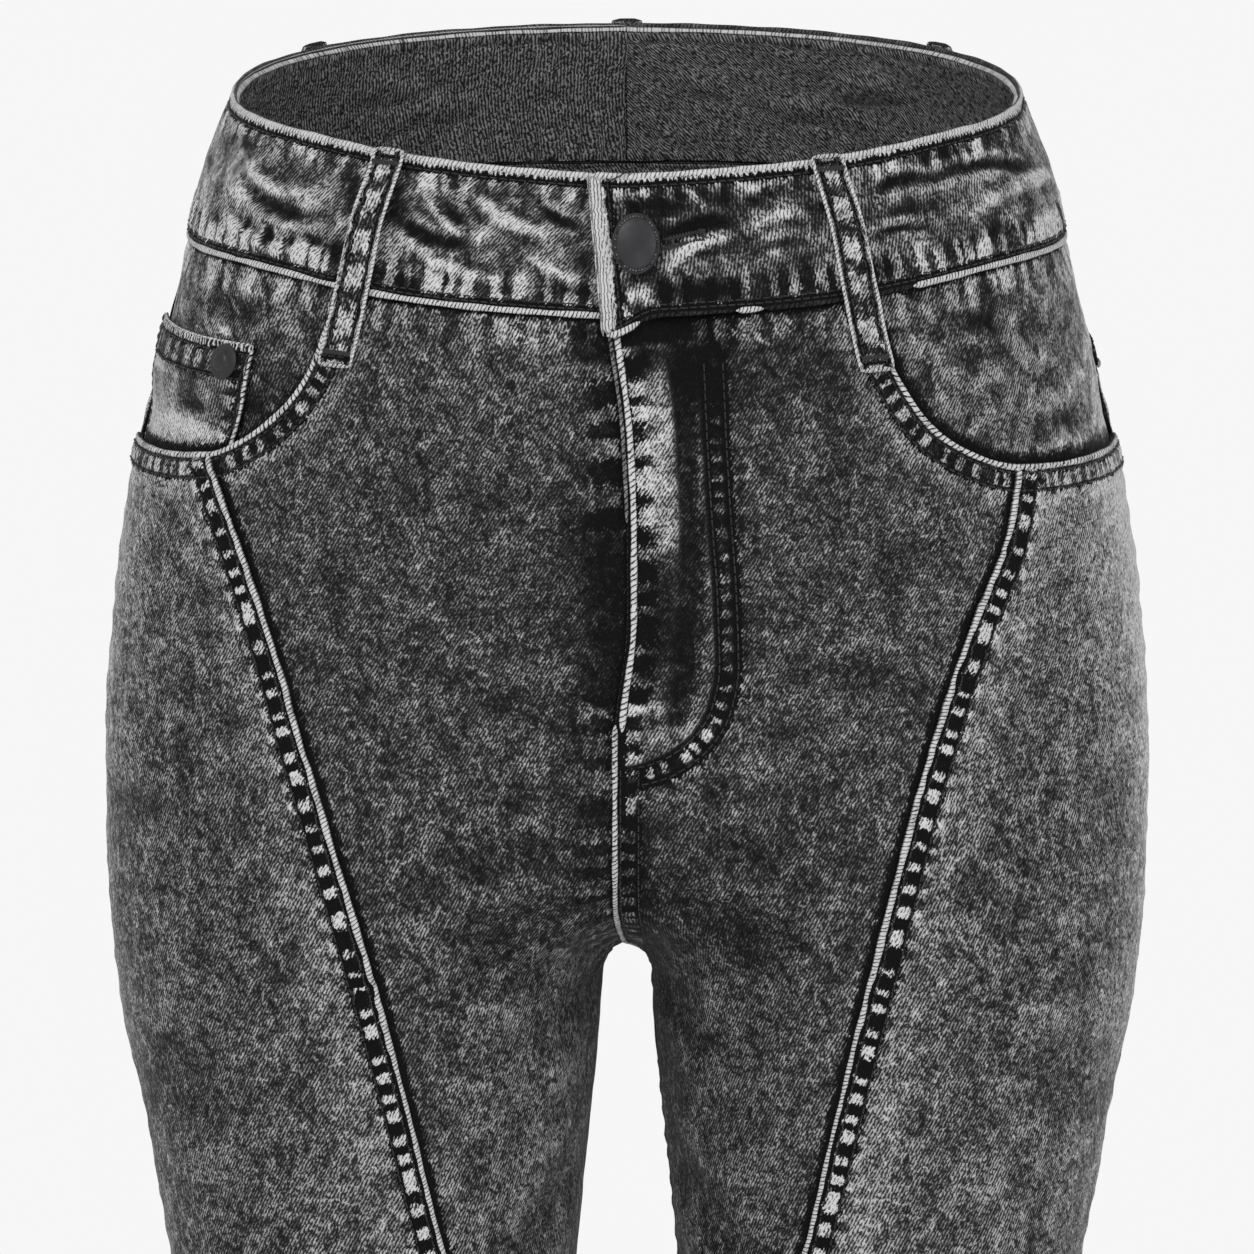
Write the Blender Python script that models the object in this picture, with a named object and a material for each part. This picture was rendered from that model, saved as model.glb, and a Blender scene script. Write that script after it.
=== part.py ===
"""High-waisted flared jeans, worn and hollow.

Metres, +Z up. The front faces -Y and the wearer's left is at +X. The origin is the middle of the waist
opening, level with the waistband's upper edge at the sides.

Every piece of cloth lies on one form, the outside of the worn trousers. A place on the form is a height
and a part of the way round: 0 at the centre front, 0.5 at the side seam and 1 at the centre back on the
wearer's left, and the same numbers below zero on the right. Under the crotch 0 and 1 both lie on the
inseam. Heights near the waist run with the tilted waistline. A lift is a distance outwards from the form.
"""

import math
from collections import namedtuple

import bmesh
import bpy
import numpy as np
from mathutils import Matrix, Vector

# Driving sizes
CLOTH = 0.0012
BAND_CLOTH = 0.0024
BAND_LIFT = BAND_CLOTH / 2
SEAM_GAP = 0.0003
STACK_GAP = 0.0006  # between a panel and what lies on it, over the panel's flat facets
CROTCH = -0.265
HEM = -1.045
NOTCH = 0.007  # half the width at which the legs part
NOTCH_DEPTH = 0.008
WAIST_TILT = 0.17
TILT_TOP = -0.043
TILT_END = -0.215
FLUTE_DEPTH = 0.005
FLUTES = 3
FLUTE_TOP = -0.62

# The form's horizontal sections. Splits say how far front and back have parted into two legs.
Section = namedtuple("Section", "height half_width inner front back middle front_split back_split squareness")
SECTIONS = (
    Section(0.008, 0.1225, 0, 0.089, 0.090, 0, 0, 0, 2.2),
    Section(0, 0.125, 0, 0.090, 0.092, 0, 0, 0, 2.2),
    Section(-0.020, 0.133, 0, 0.094, 0.098, 0, 0, 0, 2.2),
    Section(-0.043, 0.1385, 0, 0.097, 0.103, 0, 0, 0, 2.25),
    Section(-0.080, 0.148, 0, 0.101, 0.112, 0, 0, 0, 2.3),
    Section(-0.120, 0.158, 0, 0.103, 0.121, 0, 0, 0.05, 2.3),
    Section(-0.160, 0.163, 0, 0.104, 0.127, 0, 0, 0.16, 2.3),
    Section(-0.205, 0.1655, 0, 0.102, 0.1285, 0, 0.33, 0.50, 2.25),
    Section(-0.225, 0.1655, 0, 0.0995, 0.126, 0, 0.62, 0.74, 2.2),
    Section(-0.245, 0.1646, 0.005, 0.0965, 0.1215, 0, 0.85, 0.90, 2.15),
    Section(-0.265, 0.1628, 0.007, 0.0935, 0.1155, 0, 1, 1, 2.1),
    Section(-0.300, 0.1573, 0.0095, 0.088, 0.104, -0.001, 1, 1, 2.05),
    Section(-0.365, 0.145, 0.016, 0.079, 0.0885, -0.003, 1, 1, 2),
    Section(-0.430, 0.137, 0.020, 0.072, 0.076, -0.005, 1, 1, 2),
    Section(-0.520, 0.130, 0.022, 0.062, 0.065, -0.007, 1, 1, 2),
    Section(-0.605, 0.129, 0.021, 0.057, 0.060, -0.007, 1, 1, 2),
    Section(-0.700, 0.136, 0.020, 0.060, 0.063, -0.004, 1, 1, 2),
    Section(-0.800, 0.150, 0.017, 0.067, 0.070, 0, 1, 1, 2),
    Section(-0.900, 0.166, 0.014, 0.074, 0.077, 0.004, 1, 1, 2),
    Section(-1.000, 0.184, 0.012, 0.081, 0.084, 0.007, 1, 1, 2),
    Section(-1.045, 0.193, 0.011, 0.085, 0.087, 0.008, 1, 1, 2),
)

# The waistband's two edges, by the part of the way round.
WaistPoint = namedtuple("WaistPoint", "around rim seam")
WAIST = (
    WaistPoint(0, -0.0015, -0.042),
    WaistPoint(0.17, 0.0015, -0.0392),
    WaistPoint(0.33, 0.0045, -0.0355),
    WaistPoint(0.5, 0.0040, -0.0395),
    WaistPoint(1, 0.0050, -0.042),
)

# Seams of the front, as heights and distances across from the middle.
SeamPoint = namedtuple("SeamPoint", "height across")
LEFT, RIGHT = 1, -1
MOUTHS = {
    LEFT: (
        SeamPoint(-0.0385, 0.0722),
        SeamPoint(-0.064, 0.0825),
        SeamPoint(-0.082, 0.0941),
        SeamPoint(-0.0975, 0.120),
        SeamPoint(-0.103, 0.1535),
    ),
    RIGHT: (
        SeamPoint(-0.0380, 0.0875),
        SeamPoint(-0.066, 0.0982),
        SeamPoint(-0.084, 0.1123),
        SeamPoint(-0.0955, 0.1290),
        SeamPoint(-0.103, 0.1535),
    ),
}
MOUTH_CORNER = 3  # the row of each table at which the slanting seam starts
SLANTS = {
    LEFT: (
        SeamPoint(-0.0975, 0.120),
        SeamPoint(-0.118, 0.1175),
        SeamPoint(-0.150, 0.1059),
        SeamPoint(-0.222, 0.0848),
        SeamPoint(-0.282, 0.0706),
        SeamPoint(-0.350, 0.0558),
    ),
    RIGHT: (
        SeamPoint(-0.0955, 0.1290),
        SeamPoint(-0.137, 0.1147),
        SeamPoint(-0.201, 0.0965),
        SeamPoint(-0.252, 0.0812),
        SeamPoint(-0.284, 0.0729),
        SeamPoint(-0.350, 0.0576),
    ),
}
SLANT_STRAIGHT = -0.350  # below this the slanting seam runs straight to the inseam
SLANT_TIP = -0.535
SLANT_BLUNT = 0.003  # the centre panel stops this far above the tip
CENTRE_SEAM = (
    SeamPoint(-0.042, -0.0060),
    SeamPoint(-0.080, -0.0012),
    SeamPoint(-0.1135, 0),
    SeamPoint(-0.1435, 0),
    SeamPoint(-0.1855, -0.0037),
    SeamPoint(-0.240, -0.0037),
    SeamPoint(CROTCH, 0),
)
YOKE_AT_SIDE = -0.082
YOKE_AT_BACK = -0.108

# Fly, band ends and layers at the centre front
FLY_UNDERLAP = 0.006
FLY_RAISE = 0.0016
FLY_FLAT = 0.010
FLY_RAMP = 0.012
FLY_BOTTOM = -0.188
FLY_FADE = 0.012
UNDERLAP_END = -0.165
UNDERLAP_FADE = 0.020
FLAP_TOP_ACROSS = -0.0106
FLAP_RAISE = 0.0033
FLAP_FLAT = 0.022
FLAP_RAMP = 0.020
FLAP_DROOP = 0.006
FLAP_DROOP_WIDTH = 0.015
BAND_UNDERLAP = 0.020
ZIP_TOP = -0.046
ZIP_BOTTOM = -0.160
ZIP_ACROSS = 0.002
ZIP_TAPE = 0.012
ZIP_CHAIN = 0.0025
ZIP_TAPE_THICK = 0.0008
ZIP_CHAIN_THICK = 0.0020
ZIP_SLIDER_THICK = 0.0042
ZIP_SLIDER_LONG = 0.011
ZIP_SLIDER_DROP = 0.004  # from the tape's upper end down to the slider
ZIP_STEP = 0.001

# Pockets
FACING_BOTTOM = -0.116
FACING_UNDERLAP = 0.012
FACING_FLAT = 0.006
FACING_RISE = 0.018
COIN_CLOTH = 0.001
COIN_STEP = COIN_CLOTH + STACK_GAP
COIN_CORNERS = {"inner": (-0.0595, 0.311), "outer": (-0.065, 0.492)}  # height, around
COIN_INNER_BOTTOM = 0.324
COIN_TUCK = 0.009
BACK_POCKET_TOP_WIDTH = 0.128
BACK_POCKET_LOW_WIDTH = 0.110
BACK_POCKET_SIDE = 0.106
BACK_POCKET_POINT = 0.024
BACK_POCKET_AROUND = 0.762
BACK_POCKET_BELOW_YOKE = 0.017
BACK_POCKET_LIFT = 0.0010

# Belt loops: where each one's middle line starts at the rim and ends below the band
Loop = namedtuple("Loop", "name top bottom")
LOOPS = (
    Loop("belt_loop_front_left", 0.178, 0.197),
    Loop("belt_loop_front_right", -0.214, -0.233),
    Loop("belt_loop_back_left", 0.690, 0.696),
    Loop("belt_loop_back_right", -0.690, -0.696),
    Loop("belt_loop_centre_back", 1.0, 1.0),
)
LOOP_WIDTH = 0.0105
LOOP_BOTTOM = -0.061
LOOP_OVER_RIM = 0.001
LOOP_SLACK = 0.0016
LOOP_SEAM = 0.62  # the part of a loop's length that lies on the band
LOOP_STEP_DOWN = 0.25  # the part of its length over which it comes down to the panel

# Button and rivet
BUTTON_WIDTH = 0.0145
BUTTON_HEIGHT = 0.0187
BUTTON_PLACE = (-0.021, 0.0027)  # height, across
BUTTON_PROFILE = ((0.60, 0), (0.92, 0.0004), (1, 0.0012), (0.97, 0.0022), (0.88, 0.0027), (0.78, 0.0023))
RIVET_WIDTH = 0.0114
RIVET_PLACE = (-0.0662, -0.336)  # height, around
RIVET_PROFILE = ((0.80, 0), (1, 0.0005), (0.97, 0.0011), (0.85, 0.0016), (0.62, 0.0017))
TURN_STEPS = 24

# How finely the form is worked out, and the panels' columns
INSEAM = 1e-6  # the way round of a leg's own inseam, whose sign tells the two legs apart
FORM_ROW = 0.0025
FORM_STEPS = 101
CENTRE_COLUMNS = 9
CROWDING = 0.07
SIDE_COLUMNS = 9
BACK_COLUMNS = 11
COMMON_TOP = -0.145  # at this height all the panels' rows fall together
CROTCH_ABOVE = 0.030  # over these heights the rows crowd towards the crotch
CROTCH_BELOW = 0.035
FLAP_COLUMNS = 7
FLAP_COLUMNS_END = 0.11  # the way round at which the waistband's close columns end
MOUTH_STEPS = 80

COLOURS = {
    "denim": (0.072, 0.074, 0.078),
    "denim_light": (0.125, 0.128, 0.134),
    "denim_dark": (0.040, 0.041, 0.044),
    "trim": (0.020, 0.021, 0.023),
}


def smoothstep(x):
    x = np.clip(x, 0, 1)
    return x * x * (3 - 2 * x)


def monotone(knots, values, at):
    """A smooth curve through the values, with no overshoot between them."""
    knots = np.asarray(knots, float)
    values = np.asarray(values, float)
    if knots[0] > knots[-1]:
        knots, values = knots[::-1], values[::-1]
    steps = np.diff(knots)
    slopes = np.diff(values) / steps
    tangents = np.zeros_like(values)
    tangents[0], tangents[-1] = slopes[0], slopes[-1]
    for i in range(1, len(values) - 1):
        if slopes[i - 1] * slopes[i] > 0:
            before = 2 * steps[i] + steps[i - 1]
            after = steps[i] + 2 * steps[i - 1]
            tangents[i] = (before + after) / (before / slopes[i - 1] + after / slopes[i])
    i = np.clip(np.searchsorted(knots, at, side="right") - 1, 0, len(steps) - 1)
    u = (at - knots[i]) / steps[i]
    return (
        (1 + 2 * u) * (1 - u) ** 2 * values[i]
        + u * (1 - u) ** 2 * steps[i] * tangents[i]
        + u * u * (3 - 2 * u) * values[i + 1]
        + u * u * (u - 1) * steps[i] * tangents[i + 1]
    )


def column(table, name, at, key="height"):
    return monotone([getattr(row, key) for row in table], [getattr(row, name) for row in table], at)


def quarter(half_width, inner, depth, middle, squareness, notch, sign):
    """The front or back of one section, evenly spaced from the centre or inseam to the side seam."""
    centre = (half_width + inner) / 2
    radius = (half_width - inner) / 2
    reach = (centre - notch) / radius
    start = 0.0
    if reach < 1:
        start = math.acos(math.copysign(abs(reach) ** (squareness / 2), reach))
    angle = start + (math.pi - start) * np.linspace(0, 1, 400) ** 2
    cosine, sine = np.cos(angle), np.sin(angle)
    x = centre - radius * np.sign(cosine) * np.abs(cosine) ** (2 / squareness)
    y = middle + sign * depth * np.abs(sine) ** (2 / squareness)
    x = np.sqrt(np.maximum(x * x - notch * notch, 0))
    run = np.concatenate([[0], np.cumsum(np.hypot(np.diff(x), np.diff(y)))])
    at = np.linspace(0, run[-1], FORM_STEPS)
    return np.interp(at, run, x), np.interp(at, run, y)


def form_section(height):
    """The wearer's left half of the form at one height, from the centre front round to the centre back."""
    size = {name: column(SECTIONS, name, height) for name in Section._fields[1:]}
    above = height - CROTCH
    notch = NOTCH * max(0.0, 1 + above / NOTCH_DEPTH)
    if above >= 0:
        notch = NOTCH + min(NOTCH, 0.2 * above)
    sides = []
    for depth, split, sign in (("front", "front_split", -1), ("back", "back_split", 1)):
        inner = size["inner"]
        if above > 0:
            inner = -size["half_width"] + size[split] * (size["half_width"] + inner)
        sides.append(
            quarter(size["half_width"], inner, size[depth], size["middle"], size["squareness"], notch, sign)
        )
    (front_x, front_y), (back_x, back_y) = sides
    x = np.concatenate([front_x, back_x[::-1][1:]])
    y = np.concatenate([front_y, back_y[::-1][1:]])
    around = np.linspace(0, 1, len(x))
    centre = (size["half_width"] + size["inner"]) / 2
    flute = FLUTE_DEPTH * smoothstep((FLUTE_TOP - height) / (FLUTE_TOP - HEM))
    radius = np.hypot(x - centre, y - size["middle"])
    swell = 1 - flute * np.sin(2 * math.pi * FLUTES * around) / radius
    x = centre + (x - centre) * swell
    y = size["middle"] + (y - size["middle"]) * swell
    tilt = WAIST_TILT * smoothstep((height - TILT_END) / (TILT_TOP - TILT_END))
    return np.column_stack([x, y, height + tilt * y])


def form_normals(points, heights):
    """Outward directions on the half form, joined across the centre above the crotch and the inseam below."""
    mirrored = points * (-1, 1, 1)
    above = (heights > CROTCH)[:, None]
    before = np.where(above, mirrored[:, 1], points[:, -2])
    after = np.where(above, mirrored[:, -2], points[:, 1])
    wide = np.concatenate([before[:, None], points, after[:, None]], axis=1)
    across = wide[:, 2:] - wide[:, :-2]
    down = np.gradient(points, axis=0)
    normals = np.cross(across, -down)
    normals /= np.linalg.norm(normals, axis=2, keepdims=True)
    for _ in range(3):
        inner = normals[1:-1] * 2 + normals[:-2] + normals[2:]
        normals[1:-1] = inner / np.linalg.norm(inner, axis=2, keepdims=True)
    below = heights <= CROTCH
    seam = normals[below, 0] + normals[below, -1]
    normals[below, 0] = normals[below, -1] = seam / np.linalg.norm(seam, axis=1, keepdims=True)
    for edge in (0, -1):
        normals[~below, edge, 0] = 0
    return normals / np.linalg.norm(normals, axis=2, keepdims=True)


FORM_HEIGHTS = np.arange(SECTIONS[0].height, HEM - FORM_ROW / 2, -FORM_ROW)
FORM_POINTS = np.array([form_section(height) for height in FORM_HEIGHTS])
FORM_NORMALS = form_normals(FORM_POINTS, FORM_HEIGHTS)


def sample(grid, heights, arounds):
    """The half form's values at places given by height and by the way round from 0 to 1."""
    row = np.clip((FORM_HEIGHTS[0] - heights) / FORM_ROW, 0, grid.shape[0] - 1.001)
    col = np.clip(arounds * (grid.shape[1] - 1), 0, grid.shape[1] - 1.001)
    i, j = row.astype(int), col.astype(int)
    u, w = (row - i)[..., None], (col - j)[..., None]
    upper = (1 - w) * grid[i, j] + w * grid[i, j + 1]
    lower = (1 - w) * grid[i + 1, j] + w * grid[i + 1, j + 1]
    return (1 - u) * upper + u * lower


def place(heights, arounds, lift=0.0):
    """Points at those places, lifted off the form. Ways round past 1 go on across the centre back."""
    heights, arounds, lift = np.broadcast_arrays(
        np.asarray(heights, float), np.asarray(arounds, float), np.asarray(lift, float)
    )
    arounds = np.where(np.abs(arounds) > 1, arounds - 2 * np.sign(arounds), arounds)
    points = sample(FORM_POINTS, heights, np.abs(arounds))
    normals = sample(FORM_NORMALS, heights, np.abs(arounds))
    normals /= np.linalg.norm(normals, axis=-1, keepdims=True)
    points = points + lift[..., None] * normals
    points[..., 0] *= np.where(arounds < 0, -1, 1)
    return points


def half_round(height):
    """The length of the half form's section at a height."""
    section = sample(FORM_POINTS, np.full(201, height), np.linspace(0, 1, 201))
    return np.linalg.norm(np.diff(section, axis=0), axis=1).sum()


def around_at(heights, across):
    """The way round the front at which the form lies that far across."""
    steps = np.linspace(0, 0.5, FORM_STEPS)
    found = []
    for height, distance in zip(np.atleast_1d(heights), np.atleast_1d(across)):
        row = sample(FORM_POINTS, np.full(FORM_STEPS, height), steps)[:, 0]
        found.append(math.copysign(np.interp(abs(distance), row, steps), distance))
    return np.array(found)


def waist(name, around):
    return column(WAIST, name, np.abs(np.where(np.abs(around) > 1, 2 - np.abs(around), around)), key="around")


def yoke_seam(around):
    return YOKE_AT_SIDE + (YOKE_AT_BACK - YOKE_AT_SIDE) * (2 * np.abs(around) - 1)


def mouth_knots(side):
    """The mouth's own points as parts of its length, heights and ways round. It ends on the side seam."""
    heights = np.array([row.height for row in MOUTHS[side]])
    arounds = around_at(heights, [row.across for row in MOUTHS[side]])
    arounds[-1] = 0.5
    steps = np.hypot(np.diff(heights), np.diff(arounds) * half_round(heights[-1]))
    run = np.concatenate([[0], np.cumsum(steps)])
    return run / run[-1], heights, arounds


def mouth_curve(side, fractions):
    """(heights, arounds) at parts of the pocket mouth's length, from the waistband to the side seam."""
    run, heights, arounds = mouth_knots(side)
    return monotone(run, heights, fractions), side * monotone(run, arounds, fractions)


def mouth_corner(side):
    """The part of the mouth's length at which the slanting seam starts."""
    return mouth_knots(side)[0][MOUTH_CORNER]


def slant_around(side, heights):
    """The slanting seam's way round at each height, down to its tip on the inseam."""
    heights = np.asarray(heights, float)
    upper = np.maximum(heights, SLANT_STRAIGHT)
    arounds = around_at(upper, column(SLANTS[side], "across", upper))
    left_over = np.clip((heights - SLANT_TIP) / (SLANT_STRAIGHT - SLANT_TIP), 0, 1)
    return side * np.maximum(arounds * left_over, INSEAM)


def centre_across(heights):
    return column(CENTRE_SEAM, "across", np.maximum(heights, CROTCH))


def panel_rows(top, bottom):
    """The heights that all panels share, between two of them."""
    crotch_rise = np.linspace(1, 0, 8)[1:] ** 2 * CROTCH_ABOVE
    crotch_fall = np.linspace(0, 1, 5)[1:] ** 2 * CROTCH_BELOW
    rows = np.concatenate(
        [
            np.linspace(COMMON_TOP, CROTCH + CROTCH_ABOVE, 6),
            CROTCH + crotch_rise,
            CROTCH - crotch_fall,
            np.linspace(CROTCH - CROTCH_BELOW, SLANT_TIP, 9)[1:],
            np.linspace(SLANT_TIP, HEM, 12)[1:],
        ]
    )
    return rows[(rows <= top + 1e-6) & (rows >= bottom - 1e-6)]


def columns_over(count, crowding=0.0):
    """Parts of the way over a panel, crowded towards both of its edges."""
    over = np.linspace(0, 1, count + 1)
    return over - crowding * np.sin(2 * math.pi * over)


def patch(top, bottom, left, right, over):
    """Places over a four-sided stretch, whose edges are (heights, arounds). The top's shape fades downwards."""
    down = np.linspace(0, 1, len(left[0]))[:, None]
    made = []
    for top_edge, bottom_edge, left_edge, right_edge in zip(top, bottom, left, right):
        grid = (1 - over) * left_edge[:, None] + over * right_edge[:, None]
        top_line = (1 - over) * top_edge[0] + over * top_edge[-1]
        bottom_line = (1 - over) * bottom_edge[0] + over * bottom_edge[-1]
        grid = grid + (1 - down) ** 3 * (top_edge[None, :] - top_line)
        made.append(grid + down**3 * (bottom_edge[None, :] - bottom_line))
    return made


def edge(heights, arounds):
    heights, arounds = np.broadcast_arrays(np.asarray(heights, float), np.asarray(arounds, float))
    return heights, arounds


def material(name):
    made = bpy.data.materials.get(name) or bpy.data.materials.new(name)
    made.use_nodes = True
    shader = made.node_tree.nodes["Principled BSDF"]
    shader.inputs["Base Color"].default_value = (*COLOURS[name], 1)
    shader.inputs["Roughness"].default_value = 0.45 if name == "trim" else 0.9
    shader.inputs["Metallic"].default_value = 0.6 if name == "trim" else 0.0
    made.diffuse_color = (*COLOURS[name], 1)
    return made


def add_object(name, mesh, colour):
    mesh.materials.append(material(colour))
    made = bpy.data.objects.new(name, mesh)
    bpy.context.scene.collection.objects.link(made)
    return made


def face_outwards(mesh):
    """Turns a closed mesh's faces round where they point into it."""
    solid = bmesh.new()
    solid.from_mesh(mesh)
    if solid.calc_volume(signed=True) < 0:
        bmesh.ops.reverse_faces(solid, faces=solid.faces)
    solid.to_mesh(mesh)
    solid.free()


def part_from_neighbours(points, centre_edges):
    """Draws a sheet's edges in by half the seam gap, and its centre edges clear of the middle plane."""
    drawn = points.copy()
    half = SEAM_GAP / 2
    down = np.linspace(0, 1, points.shape[0])[:, None, None]
    over = np.linspace(0, 1, points.shape[1])[None, :, None]
    for border, neighbour, share in (
        (np.s_[:1, :], np.s_[1:2, :], 1 - down),
        (np.s_[-1:, :], np.s_[-2:-1, :], down),
        (np.s_[:, :1], np.s_[:, 1:2], 1 - over),
        (np.s_[:, -1:], np.s_[:, -2:-1], over),
    ):
        way = points[neighbour] - points[border]
        drawn += share * half * way / np.linalg.norm(way, axis=2, keepdims=True)
    for border, side in centre_edges:
        near = drawn[border][:, 2] > CROTCH - NOTCH_DEPTH
        drawn[border][near, 0] += half * side
    return drawn


def cloth(name, places, colour="denim", lift=0.0, thickness=CLOTH, centre_edges=()):
    """A closed wall of cloth whose outer face lies at those places, lifted off the form."""
    heights, arounds = places
    lift = np.broadcast_to(lift, heights.shape)
    outer = part_from_neighbours(place(heights, arounds, lift), centre_edges)
    inner = part_from_neighbours(place(heights, arounds, lift - thickness), centre_edges)
    rows, columns = heights.shape
    index = np.arange(rows * columns).reshape(rows, columns)
    back = index + rows * columns
    faces = []
    for i in range(rows - 1):
        for j in range(columns - 1):
            faces.append((index[i, j], index[i + 1, j], index[i + 1, j + 1], index[i, j + 1]))
            faces.append((back[i, j], back[i, j + 1], back[i + 1, j + 1], back[i + 1, j]))
    rim = [*index[0, :-1], *index[:-1, -1], *index[-1, :0:-1], *index[:0:-1, 0]]
    for here, there in zip(rim, rim[1:] + rim[:1]):
        faces.append((here, there, there + rows * columns, here + rows * columns))
    mesh = bpy.data.meshes.new(name)
    points = np.concatenate([outer.reshape(-1, 3), inner.reshape(-1, 3)])
    mesh.from_pydata(points.tolist(), [], [tuple(int(corner) for corner in face) for face in faces])
    face_outwards(mesh)
    mesh.shade_smooth()
    mesh.set_sharp_from_angle(angle=math.radians(40))
    return add_object(name, mesh, colour)


def centre_edge_arounds(heights, side):
    """The centre front edge of a front panel: the seam above the crotch, the inseam below it."""
    across = centre_across(heights)
    if side == RIGHT:
        run_out = 1 - smoothstep((UNDERLAP_END - heights) / UNDERLAP_FADE)
        across = across + FLY_UNDERLAP * run_out
    arounds = around_at(heights, across)
    return np.where(heights <= CROTCH, INSEAM * side, arounds)


def front_centre(side):
    """The middle panel of a front, from the waistband to the tip of the slanting seam."""
    corner = mouth_corner(side)
    mouth_heights, mouth_arounds = mouth_curve(side, np.linspace(0, corner, 7))
    upper = np.linspace(WAIST[0].seam, mouth_heights[-1], 7)
    middle = np.linspace(mouth_heights[-1], COMMON_TOP, 4)[1:-1]
    blunt_end = SLANT_TIP + SLANT_BLUNT
    lower = np.append(panel_rows(COMMON_TOP, blunt_end), blunt_end)
    left_heights = np.concatenate([upper, middle, lower])
    right_heights = np.concatenate([mouth_heights, middle, lower])
    right_arounds = np.concatenate([mouth_arounds, slant_around(side, np.concatenate([middle, lower]))])
    left_arounds = centre_edge_arounds(left_heights, side)
    left_heights[0], right_heights[0] = waist("seam", left_arounds[0]), waist("seam", right_arounds[0])
    over = columns_over(CENTRE_COLUMNS, CROWDING)
    top_arounds = (1 - over) * left_arounds[0] + over * right_arounds[0]
    bottom_arounds = (1 - over) * left_arounds[-1] + over * right_arounds[-1]
    places = patch(
        edge(waist("seam", top_arounds), top_arounds),
        edge(left_heights[-1], bottom_arounds),
        (left_heights, left_arounds),
        (right_heights, right_arounds),
        over,
    )
    lift = 0.0
    if side == LEFT:
        row_points = place(*places)
        steps = np.linalg.norm(np.diff(row_points, axis=1), axis=2)
        run = np.concatenate([np.zeros((len(steps), 1)), np.cumsum(steps, axis=1)], axis=1)
        fade = 1 - smoothstep((FLY_BOTTOM - places[0]) / FLY_FADE)
        lift = FLY_RAISE * fade * (1 - smoothstep((run - FLY_FLAT) / FLY_RAMP))
    name = "front_centre_left" if side == LEFT else "front_centre_right"
    return cloth(name, places, lift=lift, centre_edges=((np.s_[:, 0], side),))


def front_side(side):
    """The outer panel of a front, from the pocket mouth to the hem. Under the knee it is the whole front."""
    corner = mouth_corner(side)
    top = mouth_curve(side, np.linspace(corner, 1, SIDE_COLUMNS + 1))
    lower = panel_rows(COMMON_TOP, HEM)
    inner_heights = np.concatenate([np.linspace(top[0][0], COMMON_TOP, 4)[:-1], lower])
    outer_heights = np.concatenate([np.linspace(top[0][-1], COMMON_TOP, 4)[:-1], lower])
    inner_arounds = slant_around(side, inner_heights)
    inner_arounds[0] = top[1][0]
    bottom = edge(HEM, np.linspace(INSEAM * side, 0.5 * side, SIDE_COLUMNS + 1))
    over = columns_over(SIDE_COLUMNS)
    places = patch(top, bottom, (inner_heights, inner_arounds), edge(outer_heights, 0.5 * side), over)
    name = "front_side_left" if side == LEFT else "front_side_right"
    return cloth(name, places, "denim_light")


def back_leg(side):
    """The whole back of a leg, from the yoke to the hem."""
    arounds = np.linspace(0.5, 1, BACK_COLUMNS + 1)
    lower = panel_rows(COMMON_TOP, HEM)
    side_heights = np.concatenate([np.linspace(YOKE_AT_SIDE, COMMON_TOP, 4)[:-1], lower])
    centre_heights = np.concatenate([np.linspace(YOKE_AT_BACK, COMMON_TOP, 4)[:-1], lower])
    places = patch(
        edge(yoke_seam(arounds), arounds * side),
        edge(HEM, arounds * side),
        edge(side_heights, 0.5 * side),
        edge(centre_heights, 1.0 * side),
        columns_over(BACK_COLUMNS),
    )
    name = "back_leg_left" if side == LEFT else "back_leg_right"
    return cloth(name, places, centre_edges=((np.s_[:, -1], side),))


def back_yoke(side):
    arounds = np.linspace(0.5, 1, 10)
    down = np.linspace(0, 1, 4)[:, None]
    heights = (1 - down) * waist("seam", arounds) + down * yoke_seam(arounds)
    places = edge(heights, arounds * side)
    name = "back_yoke_left" if side == LEFT else "back_yoke_right"
    return cloth(name, places, "denim_light", centre_edges=((np.s_[:, -1], side),))


def mouth_depth(side, heights, arounds):
    """How far each place lies inside the pocket's opening, less than zero under the front panels."""
    mouth = mouth_curve(side, np.linspace(0, 1, MOUTH_STEPS))
    line = place(*mouth)
    points = place(heights, arounds)
    away = np.linalg.norm(points[..., None, :] - line, axis=-1).min(axis=-1)
    turn = np.abs(mouth[1])
    edge_height = np.interp(np.abs(arounds), turn, mouth[0], left=1.0)
    return np.where(heights > edge_height, away, -away)


def facing_lift(side, heights, arounds):
    """Sunk behind the mouth, and rising to lie flush with the waistband and the side seam."""
    sunk = CLOTH + STACK_GAP
    if side == RIGHT:
        sunk += COIN_STEP
    return -sunk * (1 - smoothstep((mouth_depth(side, heights, arounds) - FACING_FLAT) / FACING_RISE))


def pocket_facing(side):
    """The cloth that shows inside a front pocket's opening."""
    mouth_start = mouth_curve(side, np.array([0.0]))[1][0]
    inner = mouth_start - side * FACING_UNDERLAP / half_round(WAIST[0].seam)
    arounds = np.linspace(inner, 0.5 * side, 10)
    down = np.linspace(0, 1, 9)[:, None]
    places = edge((1 - down) * waist("seam", arounds) + down * FACING_BOTTOM, arounds)
    name = "pocket_facing_left" if side == LEFT else "pocket_facing_right"
    return cloth(name, places, "denim_light", lift=facing_lift(side, *places))


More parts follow.
